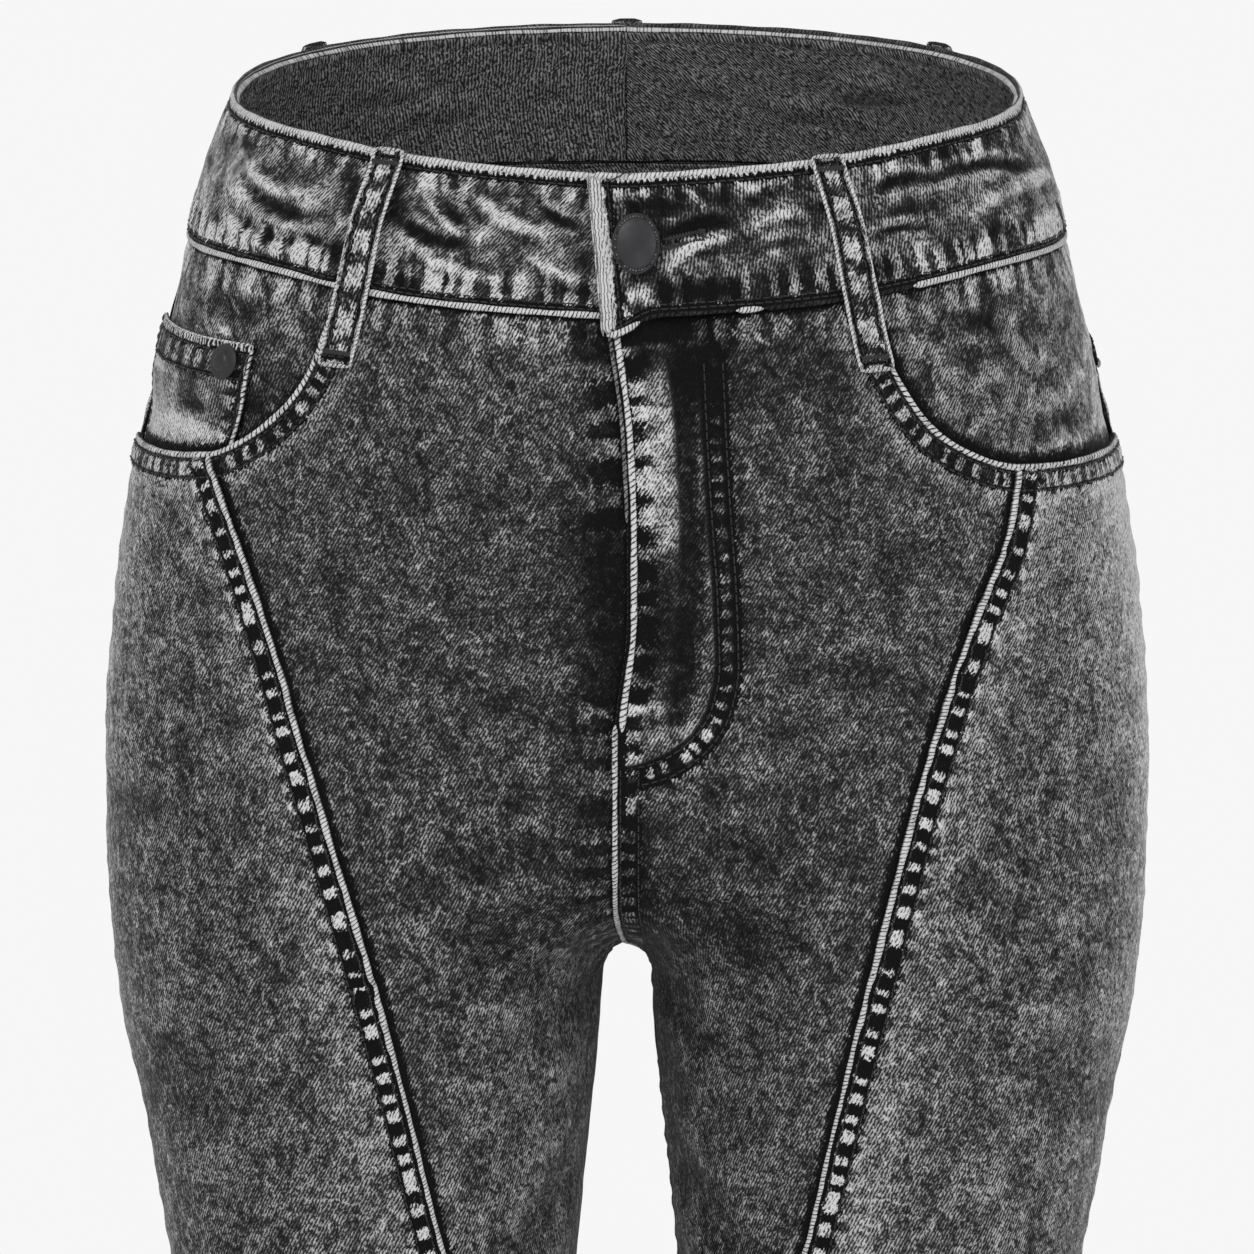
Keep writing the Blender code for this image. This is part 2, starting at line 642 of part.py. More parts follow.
def coin_pocket():
    """The small pocket on the wearer's right facing. Its lower edge tucks in behind the pocket mouth."""
    mouth = mouth_curve(RIGHT, np.linspace(0, 1, MOUTH_STEPS))
    down = np.linspace(0, 1, 8)[:, None]
    over = np.linspace(0, 1, 8)[None, :]
    inner_height, inner_top = COIN_CORNERS["inner"]
    outer_height, outer_top = COIN_CORNERS["outer"]
    inner_around = inner_top + (COIN_INNER_BOTTOM - inner_top) * down
    arounds = inner_around + (outer_top - inner_around) * over
    top = inner_height + (outer_height - inner_height) * over
    low = np.interp(arounds[-1], np.abs(mouth[1]), mouth[0]) - COIN_TUCK
    heights = (1 - down) * top + down * low
    lift = facing_lift(RIGHT, heights, -arounds) + COIN_STEP
    return cloth("coin_pocket", (heights, -arounds), "denim", lift=lift, thickness=COIN_CLOTH)


def back_pocket(side):
    """A plain patch pocket with a pointed foot, parallel to the yoke seam."""
    across = np.linspace(-0.5, 0.5, 9)
    down = np.linspace(0, 1, 9)[:, None]
    width = BACK_POCKET_TOP_WIDTH + (BACK_POCKET_LOW_WIDTH - BACK_POCKET_TOP_WIDTH) * down
    depth = BACK_POCKET_SIDE + BACK_POCKET_POINT * (1 - np.abs(2 * across))
    arounds = BACK_POCKET_AROUND + width * across / half_round(YOKE_AT_BACK)
    heights = yoke_seam(arounds[0]) - BACK_POCKET_BELOW_YOKE - down * depth
    name = "back_pocket_left" if side == LEFT else "back_pocket_right"
    return cloth(name, edge(heights, arounds * side), "denim_light", lift=BACK_POCKET_LIFT + CLOTH)


def waistband(side):
    """One half of the band. The left ends in the flap with the buttonhole, the right runs under it."""
    name = "waistband_left" if side == LEFT else "waistband_right"
    rim_end, seam_end = (FLAP_TOP_ACROSS, CENTRE_SEAM[0].across) if side == LEFT else (BAND_UNDERLAP,) * 2
    down = np.linspace(0, 1, 5)[:, None]
    start_across = rim_end + (seam_end - rim_end) * down[:, 0]
    start = around_at(WAIST[0].seam * down[:, 0], start_across)[:, None]
    near_centre = np.linspace(0, 1, FLAP_COLUMNS + 1)[None, :-1]
    split = FLAP_COLUMNS_END * side
    far = np.linspace(split, side, 20)[None, :]
    arounds = np.concatenate([start + (split - start) * near_centre, far * np.ones_like(down)], axis=1)
    seam = waist("seam", arounds)
    lift = np.full(arounds.shape, BAND_LIFT)
    if side == LEFT:
        across = np.where(arounds < 0.5, place(WAIST[0].seam / 2, arounds)[..., 0], 1)
        droop = 1 - smoothstep((across - CENTRE_SEAM[0].across) / FLAP_DROOP_WIDTH)
        seam = seam - FLAP_DROOP * droop
        lift += FLAP_RAISE * (1 - smoothstep((across - FLAP_FLAT) / FLAP_RAMP))
    heights = (1 - down) * waist("rim", arounds) + down * seam
    return cloth(name, (heights, arounds), "denim_light", lift, BAND_CLOTH, ((np.s_[:, -1], side),))


def belt_loop(loop):
    """A strip from the rim over the band to just below its seam, standing off the band in its middle."""
    along = np.linspace(0, 1, 13)[:, None]
    across = np.array([[-0.5, 0, 0.5]])
    rim = waist("rim", np.array(loop.top)) + LOOP_OVER_RIM
    heights = rim + (LOOP_BOTTOM - rim) * along + 0 * across
    arounds = loop.top + (loop.bottom - loop.top) * along + LOOP_WIDTH * across / half_round(WAIST[0].seam)
    on_band = 1 - smoothstep((along - LOOP_SEAM) / LOOP_STEP_DOWN)
    slack = LOOP_SLACK * np.sin(math.pi * np.clip(along / LOOP_SEAM, 0, 1)) ** 2
    lift = STACK_GAP + BAND_LIFT * on_band + slack + CLOTH + 0 * across
    return cloth(loop.name, (heights, arounds), "denim_dark", lift)


def zip_strip():
    """The closed zip behind the fly: two tapes, the chain between them, and the slider at its top."""
    across = np.array([-ZIP_TAPE, -ZIP_CHAIN * 1.2, -ZIP_CHAIN, ZIP_CHAIN, ZIP_CHAIN * 1.2, ZIP_TAPE])
    slider_top = ZIP_TOP - ZIP_SLIDER_DROP - ZIP_STEP
    slider_end = slider_top - ZIP_SLIDER_LONG
    heights = np.array([ZIP_TOP, slider_top + ZIP_STEP, slider_top, slider_end, slider_end - ZIP_STEP])
    heights = np.concatenate([heights, np.linspace(slider_end, ZIP_BOTTOM, 7)[1:]])
    middle = centre_across(heights) + ZIP_ACROSS
    grid_heights = heights[:, None] + 0 * across
    arounds = np.array([around_at(row, mid + across) for row, mid in zip(grid_heights, middle)])
    chain = (np.abs(across) <= ZIP_CHAIN)[None, :]
    slider = (np.abs(heights - (slider_top + slider_end) / 2) < ZIP_SLIDER_LONG / 2 + ZIP_STEP / 2)[:, None]
    thickness = np.where(chain, np.where(slider, ZIP_SLIDER_THICK, ZIP_CHAIN_THICK), ZIP_TAPE_THICK)
    lift = -(CLOTH + STACK_GAP)
    return cloth("zip", (grid_heights, arounds), "trim", lift, thickness)


def turned(name, profile, width, height, point, normal):
    """A round or oval stud: a profile of (part of the radius, height) turned about its axis."""
    mesh = bpy.data.meshes.new(name)
    solid = bmesh.new()
    rings = []
    for radius, rise in profile:
        lifted = Matrix.Translation((0, 0, rise))
        ring = bmesh.ops.create_circle(solid, segments=TURN_STEPS, radius=radius, matrix=lifted)
        rings.append(ring["verts"])
    for lower, upper in zip(rings, rings[1:]):
        for i in range(TURN_STEPS):
            j = (i + 1) % TURN_STEPS
            solid.faces.new((lower[i], lower[j], upper[j], upper[i]))
    solid.faces.new(rings[0][::-1])
    solid.faces.new(rings[-1])
    bmesh.ops.scale(solid, vec=(width / 2, height / 2, 1), verts=solid.verts)
    bmesh.ops.recalc_face_normals(solid, faces=solid.faces)
    solid.to_mesh(mesh)
    solid.free()
    mesh.shade_smooth()
    mesh.set_sharp_from_angle(angle=math.radians(35))
    made = add_object(name, mesh, "trim")
    out = Vector(normal)
    side = Vector((0, 0, 1)).cross(out).normalized()
    turn = Matrix((side, out.cross(side), out)).transposed()
    made.rotation_euler = turn.to_euler()
    made.location = Vector(point)
    return made


def outward(height, around):
    low, high = place(height, around, 0.0), place(height, around, 1.0)
    return high - low


def button():
    height, across = BUTTON_PLACE
    around = around_at(height, across)[0]
    lift = BAND_LIFT + FLAP_RAISE + STACK_GAP
    point = place(height, around, lift)
    return turned("button", BUTTON_PROFILE, BUTTON_WIDTH, BUTTON_HEIGHT, point, outward(height, around))


def rivet():
    height, around = RIVET_PLACE
    lift = float(facing_lift(RIGHT, np.array(height), np.array(around))) + COIN_STEP + STACK_GAP
    point = place(height, around, lift)
    return turned("coin_rivet", RIVET_PROFILE, RIVET_WIDTH, RIVET_WIDTH, point, outward(height, around))


def main():
    for existing in list(bpy.data.objects):
        bpy.data.objects.remove(existing, do_unlink=True)
    jeans = bpy.data.objects.new("jeans", None)
    bpy.context.scene.collection.objects.link(jeans)
    pieces = []
    for side in (LEFT, RIGHT):
        pieces += [front_centre(side), front_side(side), back_leg(side), back_yoke(side)]
        pieces += [pocket_facing(side), back_pocket(side), waistband(side)]
    pieces += [belt_loop(loop) for loop in LOOPS]
    pieces += [coin_pocket(), zip_strip(), button(), rivet()]
    for piece in pieces:
        piece.parent = jeans


main()
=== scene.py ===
"""The looks of a pair of flared jeans in snow-washed grey denim, laid out as a Blender add-on.

Metres, +Z up. The tables that in_metres reads, and others that say so, are in millimetres. The front faces
-Y and the wearer's left is at +X. The script holds, in this order, the form that the cloth lies on, the
puckers, creases and wear that it has, the settings, the materials, the sheets and seams laid on the form,
the edges, stitches and metal parts, and the operators that make them all.

A place on the form is a height and a part of the way round: 0 at the centre front, 0.5 at the side seam
and 1 at the centre back on the wearer's left, and the same numbers below zero on the right. Under the
crotch 0 and 1 both lie on the inseam. A seam is a line on the form. Each sheet keeps, for each seam near
it, how far along the seam and how far beside it every point lies, and both the puckers in the cloth and
the wear in its colour are worked out from those two.
"""

import math
from collections import namedtuple
from functools import cache

import bpy
import numpy as np
from bpy.props import FloatProperty, FloatVectorProperty, PointerProperty
from mathutils import Matrix, Vector
from mathutils.bvhtree import BVHTree


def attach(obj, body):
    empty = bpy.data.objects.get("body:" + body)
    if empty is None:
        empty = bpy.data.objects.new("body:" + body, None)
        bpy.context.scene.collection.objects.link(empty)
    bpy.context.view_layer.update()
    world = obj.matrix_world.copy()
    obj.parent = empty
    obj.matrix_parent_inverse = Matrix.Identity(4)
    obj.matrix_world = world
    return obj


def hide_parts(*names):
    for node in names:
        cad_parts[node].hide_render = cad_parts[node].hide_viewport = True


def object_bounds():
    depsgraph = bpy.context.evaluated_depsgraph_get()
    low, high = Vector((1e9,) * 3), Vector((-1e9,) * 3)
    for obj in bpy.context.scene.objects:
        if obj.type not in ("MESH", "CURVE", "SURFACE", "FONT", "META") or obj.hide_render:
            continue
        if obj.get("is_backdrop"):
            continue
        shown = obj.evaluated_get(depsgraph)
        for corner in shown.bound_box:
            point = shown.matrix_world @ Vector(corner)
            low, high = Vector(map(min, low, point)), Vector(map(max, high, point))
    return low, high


bl_info = {
    "name": "Flared jeans",
    "version": (1, 0, 0),
    "blender": (4, 5, 0),
    "location": "3D View > Sidebar > Jeans",
    "description": "Snow-washed flared jeans with slanting front seams",
    "category": "Add Mesh",
}

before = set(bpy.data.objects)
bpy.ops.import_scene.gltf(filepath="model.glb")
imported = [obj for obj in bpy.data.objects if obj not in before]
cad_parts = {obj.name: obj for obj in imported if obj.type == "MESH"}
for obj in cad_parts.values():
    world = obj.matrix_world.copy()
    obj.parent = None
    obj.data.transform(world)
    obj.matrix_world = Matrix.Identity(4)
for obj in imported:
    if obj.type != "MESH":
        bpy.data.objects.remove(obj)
SIZES = {"cad": [list(corner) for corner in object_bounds()]}
BODY = "root"

# Driving sizes
CLOTH = 0.0012
BAND_CLOTH = 0.0024
BAND_LIFT = BAND_CLOTH / 2
STACK_GAP = 0.0006  # between a panel and what lies on it, over the panel's flat facets
CROTCH = -0.265
HEM = -1.045
NOTCH = 0.007  # half the width at which the legs part
NOTCH_DEPTH = 0.008
WAIST_TILT = 0.17
TILT_TOP = -0.043
TILT_END = -0.215
FLUTE_DEPTH = 0.005
FLUTES = 3
FLUTE_TOP = -0.62

MM = 1000  # millimetres in a metre


def in_metres(kind, lengths, rows):
    """A table's rows with their names, and the lengths among them turned into metres."""
    made = []
    for values in rows:
        row = kind(*values)
        made.append(row._replace(**{name: getattr(row, name) / MM for name in lengths.split()}))
    return made


# The form's horizontal sections. Splits say how far front and back have parted into two legs.
Section = namedtuple("Section", "height half_width inner front back middle front_split back_split squareness")
SECTIONS = in_metres(
    Section,
    "height half_width inner front back middle",
    (
        (8, 122.5, 0, 89, 90, 0, 0, 0, 2.2),
        (0, 125, 0, 90, 92, 0, 0, 0, 2.2),
        (-20, 133, 0, 94, 98, 0, 0, 0, 2.2),
        (-43, 138.5, 0, 97, 103, 0, 0, 0, 2.25),
        (-80, 148, 0, 101, 112, 0, 0, 0, 2.3),
        (-120, 158, 0, 103, 121, 0, 0, 0.05, 2.3),
        (-160, 163, 0, 104, 127, 0, 0, 0.16, 2.3),
        (-205, 165.5, 0, 102, 128.5, 0, 0.33, 0.50, 2.25),
        (-225, 165.5, 0, 99.5, 126, 0, 0.62, 0.74, 2.2),
        (-245, 164.6, 5, 96.5, 121.5, 0, 0.85, 0.90, 2.15),
        (-265, 162.8, 7, 93.5, 115.5, 0, 1, 1, 2.1),
        (-300, 157.3, 9.5, 88, 104, -1, 1, 1, 2.05),
        (-365, 145, 16, 79, 88.5, -3, 1, 1, 2),
        (-430, 137, 20, 72, 76, -5, 1, 1, 2),
        (-520, 130, 22, 62, 65, -7, 1, 1, 2),
        (-605, 129, 21, 57, 60, -7, 1, 1, 2),
        (-700, 136, 20, 60, 63, -4, 1, 1, 2),
        (-800, 150, 17, 67, 70, 0, 1, 1, 2),
        (-900, 166, 14, 74, 77, 4, 1, 1, 2),
        (-1000, 184, 12, 81, 84, 7, 1, 1, 2),
        (-1045, 193, 11, 85, 87, 8, 1, 1, 2),
    ),
)

# The waistband's two edges, by the part of the way round
WaistPoint = namedtuple("WaistPoint", "around rim seam")
WAIST = in_metres(
    WaistPoint,
    "rim seam",
    ((0, -1.5, -42), (0.17, 1.5, -39.2), (0.33, 4.5, -35.5), (0.5, 4, -39.5), (1, 5, -42)),
)

# Seams of the front, as heights and distances across from the middle
SeamPoint = namedtuple("SeamPoint", "height across")
LEFT, RIGHT, BOTH = 1, -1, 0
SIDES = ((LEFT, "left"), (RIGHT, "right"))


def seam_points(*rows):
    """A seam's points, given in millimetres."""
    return in_metres(SeamPoint, "height across", rows)


MOUTHS = {
    LEFT: seam_points((-38.5, 72.2), (-64, 82.5), (-82, 94.1), (-97.5, 120), (-103, 153.5)),
    RIGHT: seam_points((-38, 87.5), (-66, 98.2), (-84, 112.3), (-95.5, 129), (-103, 153.5)),
}
MOUTH_CORNER = 3  # the point of each mouth at which the slanting seam starts
SLANTS = {
    LEFT: seam_points((-97.5, 120), (-118, 117.5), (-150, 105.9), (-222, 84.8), (-282, 70.6), (-350, 55.8)),
    RIGHT: seam_points((-95.5, 129), (-137, 114.7), (-201, 96.5), (-252, 81.2), (-284, 72.9), (-350, 57.6)),
}
SLANT_STRAIGHT = -0.350  # below this the slanting seam runs straight to the inseam
SLANT_TIP = -0.535
SLANT_BLUNT = 0.003  # the centre panel stops this far above the tip
CENTRE_SEAM = seam_points(
    (-42, -6), (-80, -1.2), (-113.5, 0), (-143.5, 0), (-185.5, -3.7), (-240, -3.7), (CROTCH * MM, 0)
)
YOKE_AT_SIDE = -0.082
YOKE_AT_BACK = -0.108

# Fly, band ends and layers at the centre front
FLY_UNDERLAP = 0.006
FLY_RAISE = 0.0016
FLY_FLAT = 0.010
FLY_RAMP = 0.012
FLY_BOTTOM = -0.188
FLY_FADE = 0.012
UNDERLAP_END = -0.165
UNDERLAP_FADE = 0.020
FLAP_TOP_ACROSS = -0.0106
FLAP_RAISE = 0.0033
FLAP_FLAT = 0.022
FLAP_RAMP = 0.020
FLAP_DROOP = 0.006
FLAP_DROOP_WIDTH = 0.015
BAND_UNDERLAP = 0.020
ZIP_TOP = -0.046
ZIP_BOTTOM = -0.160
ZIP_ACROSS = 0.002
ZIP_TAPE = 0.012
ZIP_TAPE_THICK = 0.0008

# Pockets
FACING_BOTTOM = -0.116
FACING_UNDERLAP = 0.012
FACING_FLAT = 0.006
FACING_RISE = 0.018
COIN_CLOTH = 0.001
COIN_STEP = COIN_CLOTH + STACK_GAP
COIN_CORNERS = {"inner": (-0.0595, 0.311), "outer": (-0.065, 0.492)}  # height, around
COIN_INNER_BOTTOM = 0.324
COIN_TUCK = 0.009
BACK_POCKET_TOP_WIDTH = 0.128
BACK_POCKET_LOW_WIDTH = 0.110
BACK_POCKET_SIDE = 0.106
BACK_POCKET_POINT = 0.024
BACK_POCKET_AROUND = 0.762
BACK_POCKET_BELOW_YOKE = 0.017
BACK_POCKET_LIFT = 0.0010

# Belt loops: where each one's middle line starts at the rim and ends below the band
Loop = namedtuple("Loop", "name top bottom")
LOOPS = (
    Loop("belt_loop_front_left", 0.178, 0.197),
    Loop("belt_loop_front_right", -0.214, -0.233),
    Loop("belt_loop_back_left", 0.690, 0.696),
    Loop("belt_loop_back_right", -0.690, -0.696),
    Loop("belt_loop_centre_back", 1.0, 1.0),
)
LOOP_WIDTH = 0.0105
LOOP_BOTTOM = -0.061
LOOP_OVER_RIM = 0.001
LOOP_SLACK = 0.0016
LOOP_SEAM = 0.62  # the part of a loop's length that lies on the band
LOOP_STEP_DOWN = 0.25  # the part of its length over which it comes down to the panel

# Button and rivet
BUTTON_WIDTH = 0.0145
BUTTON_HEIGHT = 0.0187
BUTTON_PLACE = (-0.021, 0.0027)  # height, across
RIVET_WIDTH = 0.0114
RIVET_PLACE = (-0.0662, -0.336)  # height, around

# How finely the form is worked out, and the panels' columns
INSEAM = 1e-6  # the way round of a leg's own inseam, whose sign tells the two legs apart
FORM_ROW = 0.0025
FORM_STEPS = 101
COMMON_TOP = -0.145  # at this height all the panels' rows fall together
FLAP_COLUMNS_END = 0.11  # the way round at which the waistband's close columns end
CLOSE_COLUMNS = 36
FAR_COLUMNS = 190
MOUTH_STEPS = 80


def smoothstep(x):
    x = np.clip(x, 0, 1)
    return x * x * (3 - 2 * x)


def monotone(knots, values, at):
    """A smooth curve through the values, with no overshoot between them."""
    knots = np.asarray(knots, float)
    values = np.asarray(values, float)
    if knots[0] > knots[-1]:
        knots, values = knots[::-1], values[::-1]
    steps = np.diff(knots)
    slopes = np.diff(values) / steps
    tangents = np.zeros_like(values)
    tangents[0], tangents[-1] = slopes[0], slopes[-1]
    for i in range(1, len(values) - 1):
        if slopes[i - 1] * slopes[i] > 0:
            before = 2 * steps[i] + steps[i - 1]
            after = steps[i] + 2 * steps[i - 1]
            tangents[i] = (before + after) / (before / slopes[i - 1] + after / slopes[i])
    i = np.clip(np.searchsorted(knots, at, side="right") - 1, 0, len(steps) - 1)
    u = (at - knots[i]) / steps[i]
    return (
        (1 + 2 * u) * (1 - u) ** 2 * values[i]
        + u * (1 - u) ** 2 * steps[i] * tangents[i]
        + u * u * (3 - 2 * u) * values[i + 1]
        + u * u * (u - 1) * steps[i] * tangents[i + 1]
    )


def run_along(points):
    """How far along a line each of its points lies."""
    return np.concatenate([[0], np.cumsum(np.linalg.norm(np.diff(points, axis=0), axis=1))])


def column(table, name, at, key="height"):
    """A table's column as a smooth curve, at heights or at other values of its key."""
    return monotone([getattr(row, key) for row in table], [getattr(row, name) for row in table], at)


def quarter(half_width, inner, depth, middle, squareness, notch, sign):
    """The front or back of one section, evenly spaced from the centre or inseam to the side seam."""
    centre = (half_width + inner) / 2
    radius = (half_width - inner) / 2
    reach = (centre - notch) / radius
    start = 0.0
    if reach < 1:
        start = math.acos(math.copysign(abs(reach) ** (squareness / 2), reach))
    angle = start + (math.pi - start) * np.linspace(0, 1, 400) ** 2
    cosine, sine = np.cos(angle), np.sin(angle)
    x = centre - radius * np.sign(cosine) * np.abs(cosine) ** (2 / squareness)
    y = middle + sign * depth * np.abs(sine) ** (2 / squareness)
    x = np.sqrt(np.maximum(x * x - notch * notch, 0))
    run = run_along(np.column_stack([x, y]))
    at = np.linspace(0, run[-1], FORM_STEPS)
    return np.interp(at, run, x), np.interp(at, run, y)


def form_section(height):
    """The wearer's left half of the form at one height, from the centre front round to the centre back."""
    size = {name: column(SECTIONS, name, height) for name in Section._fields[1:]}
    above = height - CROTCH
    notch = NOTCH * max(0.0, 1 + above / NOTCH_DEPTH)
    if above >= 0:
        notch = NOTCH + min(NOTCH, 0.2 * above)
    sides = []
    for depth, split, sign in (("front", "front_split", -1), ("back", "back_split", 1)):
        inner = size["inner"]
        if above > 0:
            inner = -size["half_width"] + size[split] * (size["half_width"] + inner)
        sides.append(
            quarter(size["half_width"], inner, size[depth], size["middle"], size["squareness"], notch, sign)
        )
    (front_x, front_y), (back_x, back_y) = sides
    x = np.concatenate([front_x, back_x[::-1][1:]])
    y = np.concatenate([front_y, back_y[::-1][1:]])
    around = np.linspace(0, 1, len(x))
    centre = (size["half_width"] + size["inner"]) / 2
    flute = FLUTE_DEPTH * smoothstep((FLUTE_TOP - height) / (FLUTE_TOP - HEM))
    radius = np.hypot(x - centre, y - size["middle"])
    swell = 1 - flute * np.sin(2 * math.pi * FLUTES * around) / radius
    x = centre + (x - centre) * swell
    y = size["middle"] + (y - size["middle"]) * swell
    tilt = WAIST_TILT * smoothstep((height - TILT_END) / (TILT_TOP - TILT_END))
    return np.column_stack([x, y, height + tilt * y])


def form_normals(points, heights):
    """Outward directions on the half form, joined across the centre above the crotch and the inseam below."""
    mirrored = points * (-1, 1, 1)
    above = (heights > CROTCH)[:, None]
    before = np.where(above, mirrored[:, 1], points[:, -2])
    after = np.where(above, mirrored[:, -2], points[:, 1])
    wide = np.concatenate([before[:, None], points, after[:, None]], axis=1)
    across = wide[:, 2:] - wide[:, :-2]
    down = np.gradient(points, axis=0)
    normals = np.cross(across, -down)
    normals /= np.linalg.norm(normals, axis=2, keepdims=True)
    for _ in range(3):
        inner = normals[1:-1] * 2 + normals[:-2] + normals[2:]
        normals[1:-1] = inner / np.linalg.norm(inner, axis=2, keepdims=True)
    below = heights <= CROTCH
    seam = normals[below, 0] + normals[below, -1]
    normals[below, 0] = normals[below, -1] = seam / np.linalg.norm(seam, axis=1, keepdims=True)
    for edge in (0, -1):
        normals[~below, edge, 0] = 0
    return normals / np.linalg.norm(normals, axis=2, keepdims=True)


FORM_HEIGHTS = np.arange(SECTIONS[0].height, HEM - FORM_ROW / 2, -FORM_ROW)
FORM_POINTS = np.array([form_section(height) for height in FORM_HEIGHTS])
FORM_NORMALS = form_normals(FORM_POINTS, FORM_HEIGHTS)


def sample(grid, heights, arounds):
    """The half form's values at places given by height and by the way round from 0 to 1."""
    row = np.clip((FORM_HEIGHTS[0] - heights) / FORM_ROW, 0, grid.shape[0] - 1.001)
    col = np.clip(arounds * (grid.shape[1] - 1), 0, grid.shape[1] - 1.001)
    i, j = row.astype(int), col.astype(int)
    u, w = (row - i)[..., None], (col - j)[..., None]
    upper = (1 - w) * grid[i, j] + w * grid[i, j + 1]
    lower = (1 - w) * grid[i + 1, j] + w * grid[i + 1, j + 1]
    return (1 - u) * upper + u * lower


def place(heights, arounds, lift=0.0):
    """Points at those places, lifted off the form. Ways round past 1 go on across the centre back."""
    heights, arounds, lift = np.broadcast_arrays(
        np.asarray(heights, float), np.asarray(arounds, float), np.asarray(lift, float)
    )
    arounds = np.where(np.abs(arounds) > 1, arounds - 2 * np.sign(arounds), arounds)
    points = sample(FORM_POINTS, heights, np.abs(arounds))
    normals = sample(FORM_NORMALS, heights, np.abs(arounds))
    normals /= np.linalg.norm(normals, axis=-1, keepdims=True)
    points = points + lift[..., None] * normals
    points[..., 0] *= np.where(arounds < 0, -1, 1)
    return points


def half_round(height):
    """The length of the half form's section at a height."""
    section = sample(FORM_POINTS, np.full(201, height), np.linspace(0, 1, 201))
    return np.linalg.norm(np.diff(section, axis=0), axis=1).sum()


def around_at(heights, across):
    """The way round the front at which the form lies that far across."""
    steps = np.linspace(0, 0.5, FORM_STEPS)
    found = []
    for height, distance in zip(np.atleast_1d(heights), np.atleast_1d(across)):
        row = sample(FORM_POINTS, np.full(FORM_STEPS, height), steps)[:, 0]
        found.append(math.copysign(np.interp(abs(distance), row, steps), distance))
    return np.array(found)


def waist(name, around):
    return column(WAIST, name, np.abs(np.where(np.abs(around) > 1, 2 - np.abs(around), around)), key="around")


def yoke_seam(around):
    return YOKE_AT_SIDE + (YOKE_AT_BACK - YOKE_AT_SIDE) * (2 * np.abs(around) - 1)


def mouth_knots(side):
    """The mouth's own points as parts of its length, heights and ways round. It ends on the side seam."""
    heights = np.array([row.height for row in MOUTHS[side]])
    arounds = around_at(heights, [row.across for row in MOUTHS[side]])
    arounds[-1] = 0.5
    steps = np.hypot(np.diff(heights), np.diff(arounds) * half_round(heights[-1]))
    run = np.concatenate([[0], np.cumsum(steps)])
    return run / run[-1], heights, arounds


def mouth_curve(side, fractions):
    """(heights, arounds) at parts of the pocket mouth's length, from the waistband to the side seam."""
    run, heights, arounds = mouth_knots(side)
    return monotone(run, heights, fractions), side * monotone(run, arounds, fractions)


def mouth_corner(side):
    """The part of the mouth's length at which the slanting seam starts."""
    return mouth_knots(side)[0][MOUTH_CORNER]


def slant_around(side, heights):
    """The slanting seam's way round at each height, down to its tip on the inseam."""
    heights = np.asarray(heights, float)
    upper = np.maximum(heights, SLANT_STRAIGHT)
    arounds = around_at(upper, column(SLANTS[side], "across", upper))
    left_over = np.clip((heights - SLANT_TIP) / (SLANT_STRAIGHT - SLANT_TIP), 0, 1)
    return side * np.maximum(arounds * left_over, INSEAM)


def centre_across(heights):
    return column(CENTRE_SEAM, "across", np.maximum(heights, CROTCH))


def patch(top, bottom, left, right, over):
    """Places over a four-sided stretch with edges of (heights, arounds). The top's shape fades downwards."""
    down = np.linspace(0, 1, len(left[0]))[:, None]
    made = []
    for top_edge, bottom_edge, left_edge, right_edge in zip(top, bottom, left, right):
        grid = (1 - over) * left_edge[:, None] + over * right_edge[:, None]
        top_line = (1 - over) * top_edge[0] + over * top_edge[-1]
        bottom_line = (1 - over) * bottom_edge[0] + over * bottom_edge[-1]
        grid = grid + (1 - down) ** 3 * (top_edge[None, :] - top_line)
        made.append(grid + down**3 * (bottom_edge[None, :] - bottom_line))
    return made


def edge(heights, arounds):
    heights, arounds = np.broadcast_arrays(np.asarray(heights, float), np.asarray(arounds, float))
    return heights, arounds


def centre_edge_arounds(heights, side):
    """The centre front edge of a front panel: the seam above the crotch, the inseam below it."""
    across = centre_across(heights)
    if side == RIGHT:
        run_out = 1 - smoothstep((UNDERLAP_END - heights) / UNDERLAP_FADE)
        across = across + FLY_UNDERLAP * run_out
    arounds = around_at(heights, across)
    return np.where(heights <= CROTCH, INSEAM * side, arounds)


def mouth_depth(side, heights, arounds):
    """How far each place lies inside the pocket's opening, less than zero under the front panels."""
    mouth = mouth_curve(side, np.linspace(0, 1, MOUTH_STEPS))
    line = place(*mouth)
    points = place(heights, arounds)
    away = np.linalg.norm(points[..., None, :] - line, axis=-1).min(axis=-1)
    turn = np.abs(mouth[1])
    edge_height = np.interp(np.abs(arounds), turn, mouth[0], left=1.0)
    return np.where(heights > edge_height, away, -away)


def facing_lift(side, heights, arounds):
    """Sunk behind the mouth, and rising to lie flush with the waistband and the side seam."""
    sunk = CLOTH + STACK_GAP
    if side == RIGHT:
        sunk += COIN_STEP
    return -sunk * (1 - smoothstep((mouth_depth(side, heights, arounds) - FACING_FLAT) / FACING_RISE))


# ---- The cloth's puckers, creases and wear ----

J_STITCH = seam_points(
    (-56, 26.2), (-80, 27.2), (-110, 28.8), (-135, 30.3), (-160, 31), (-176, 28.5), (-188, 21.5),
    (-195.5, 11), (-198.5, 1),
)
TWILL_ANGLE = 28  # how far the twill's lines lean from upright, in degrees
FINE_ROW = 0.0017
COARSE_ROW = 0.0032
FINE_END = -0.400  # below this height the rows are coarse
FIRST_COLUMN = 0.0005
COLUMN_GROWTH = 1.14
WIDEST_COLUMN = 0.0042
LINE_STEP = 0.001

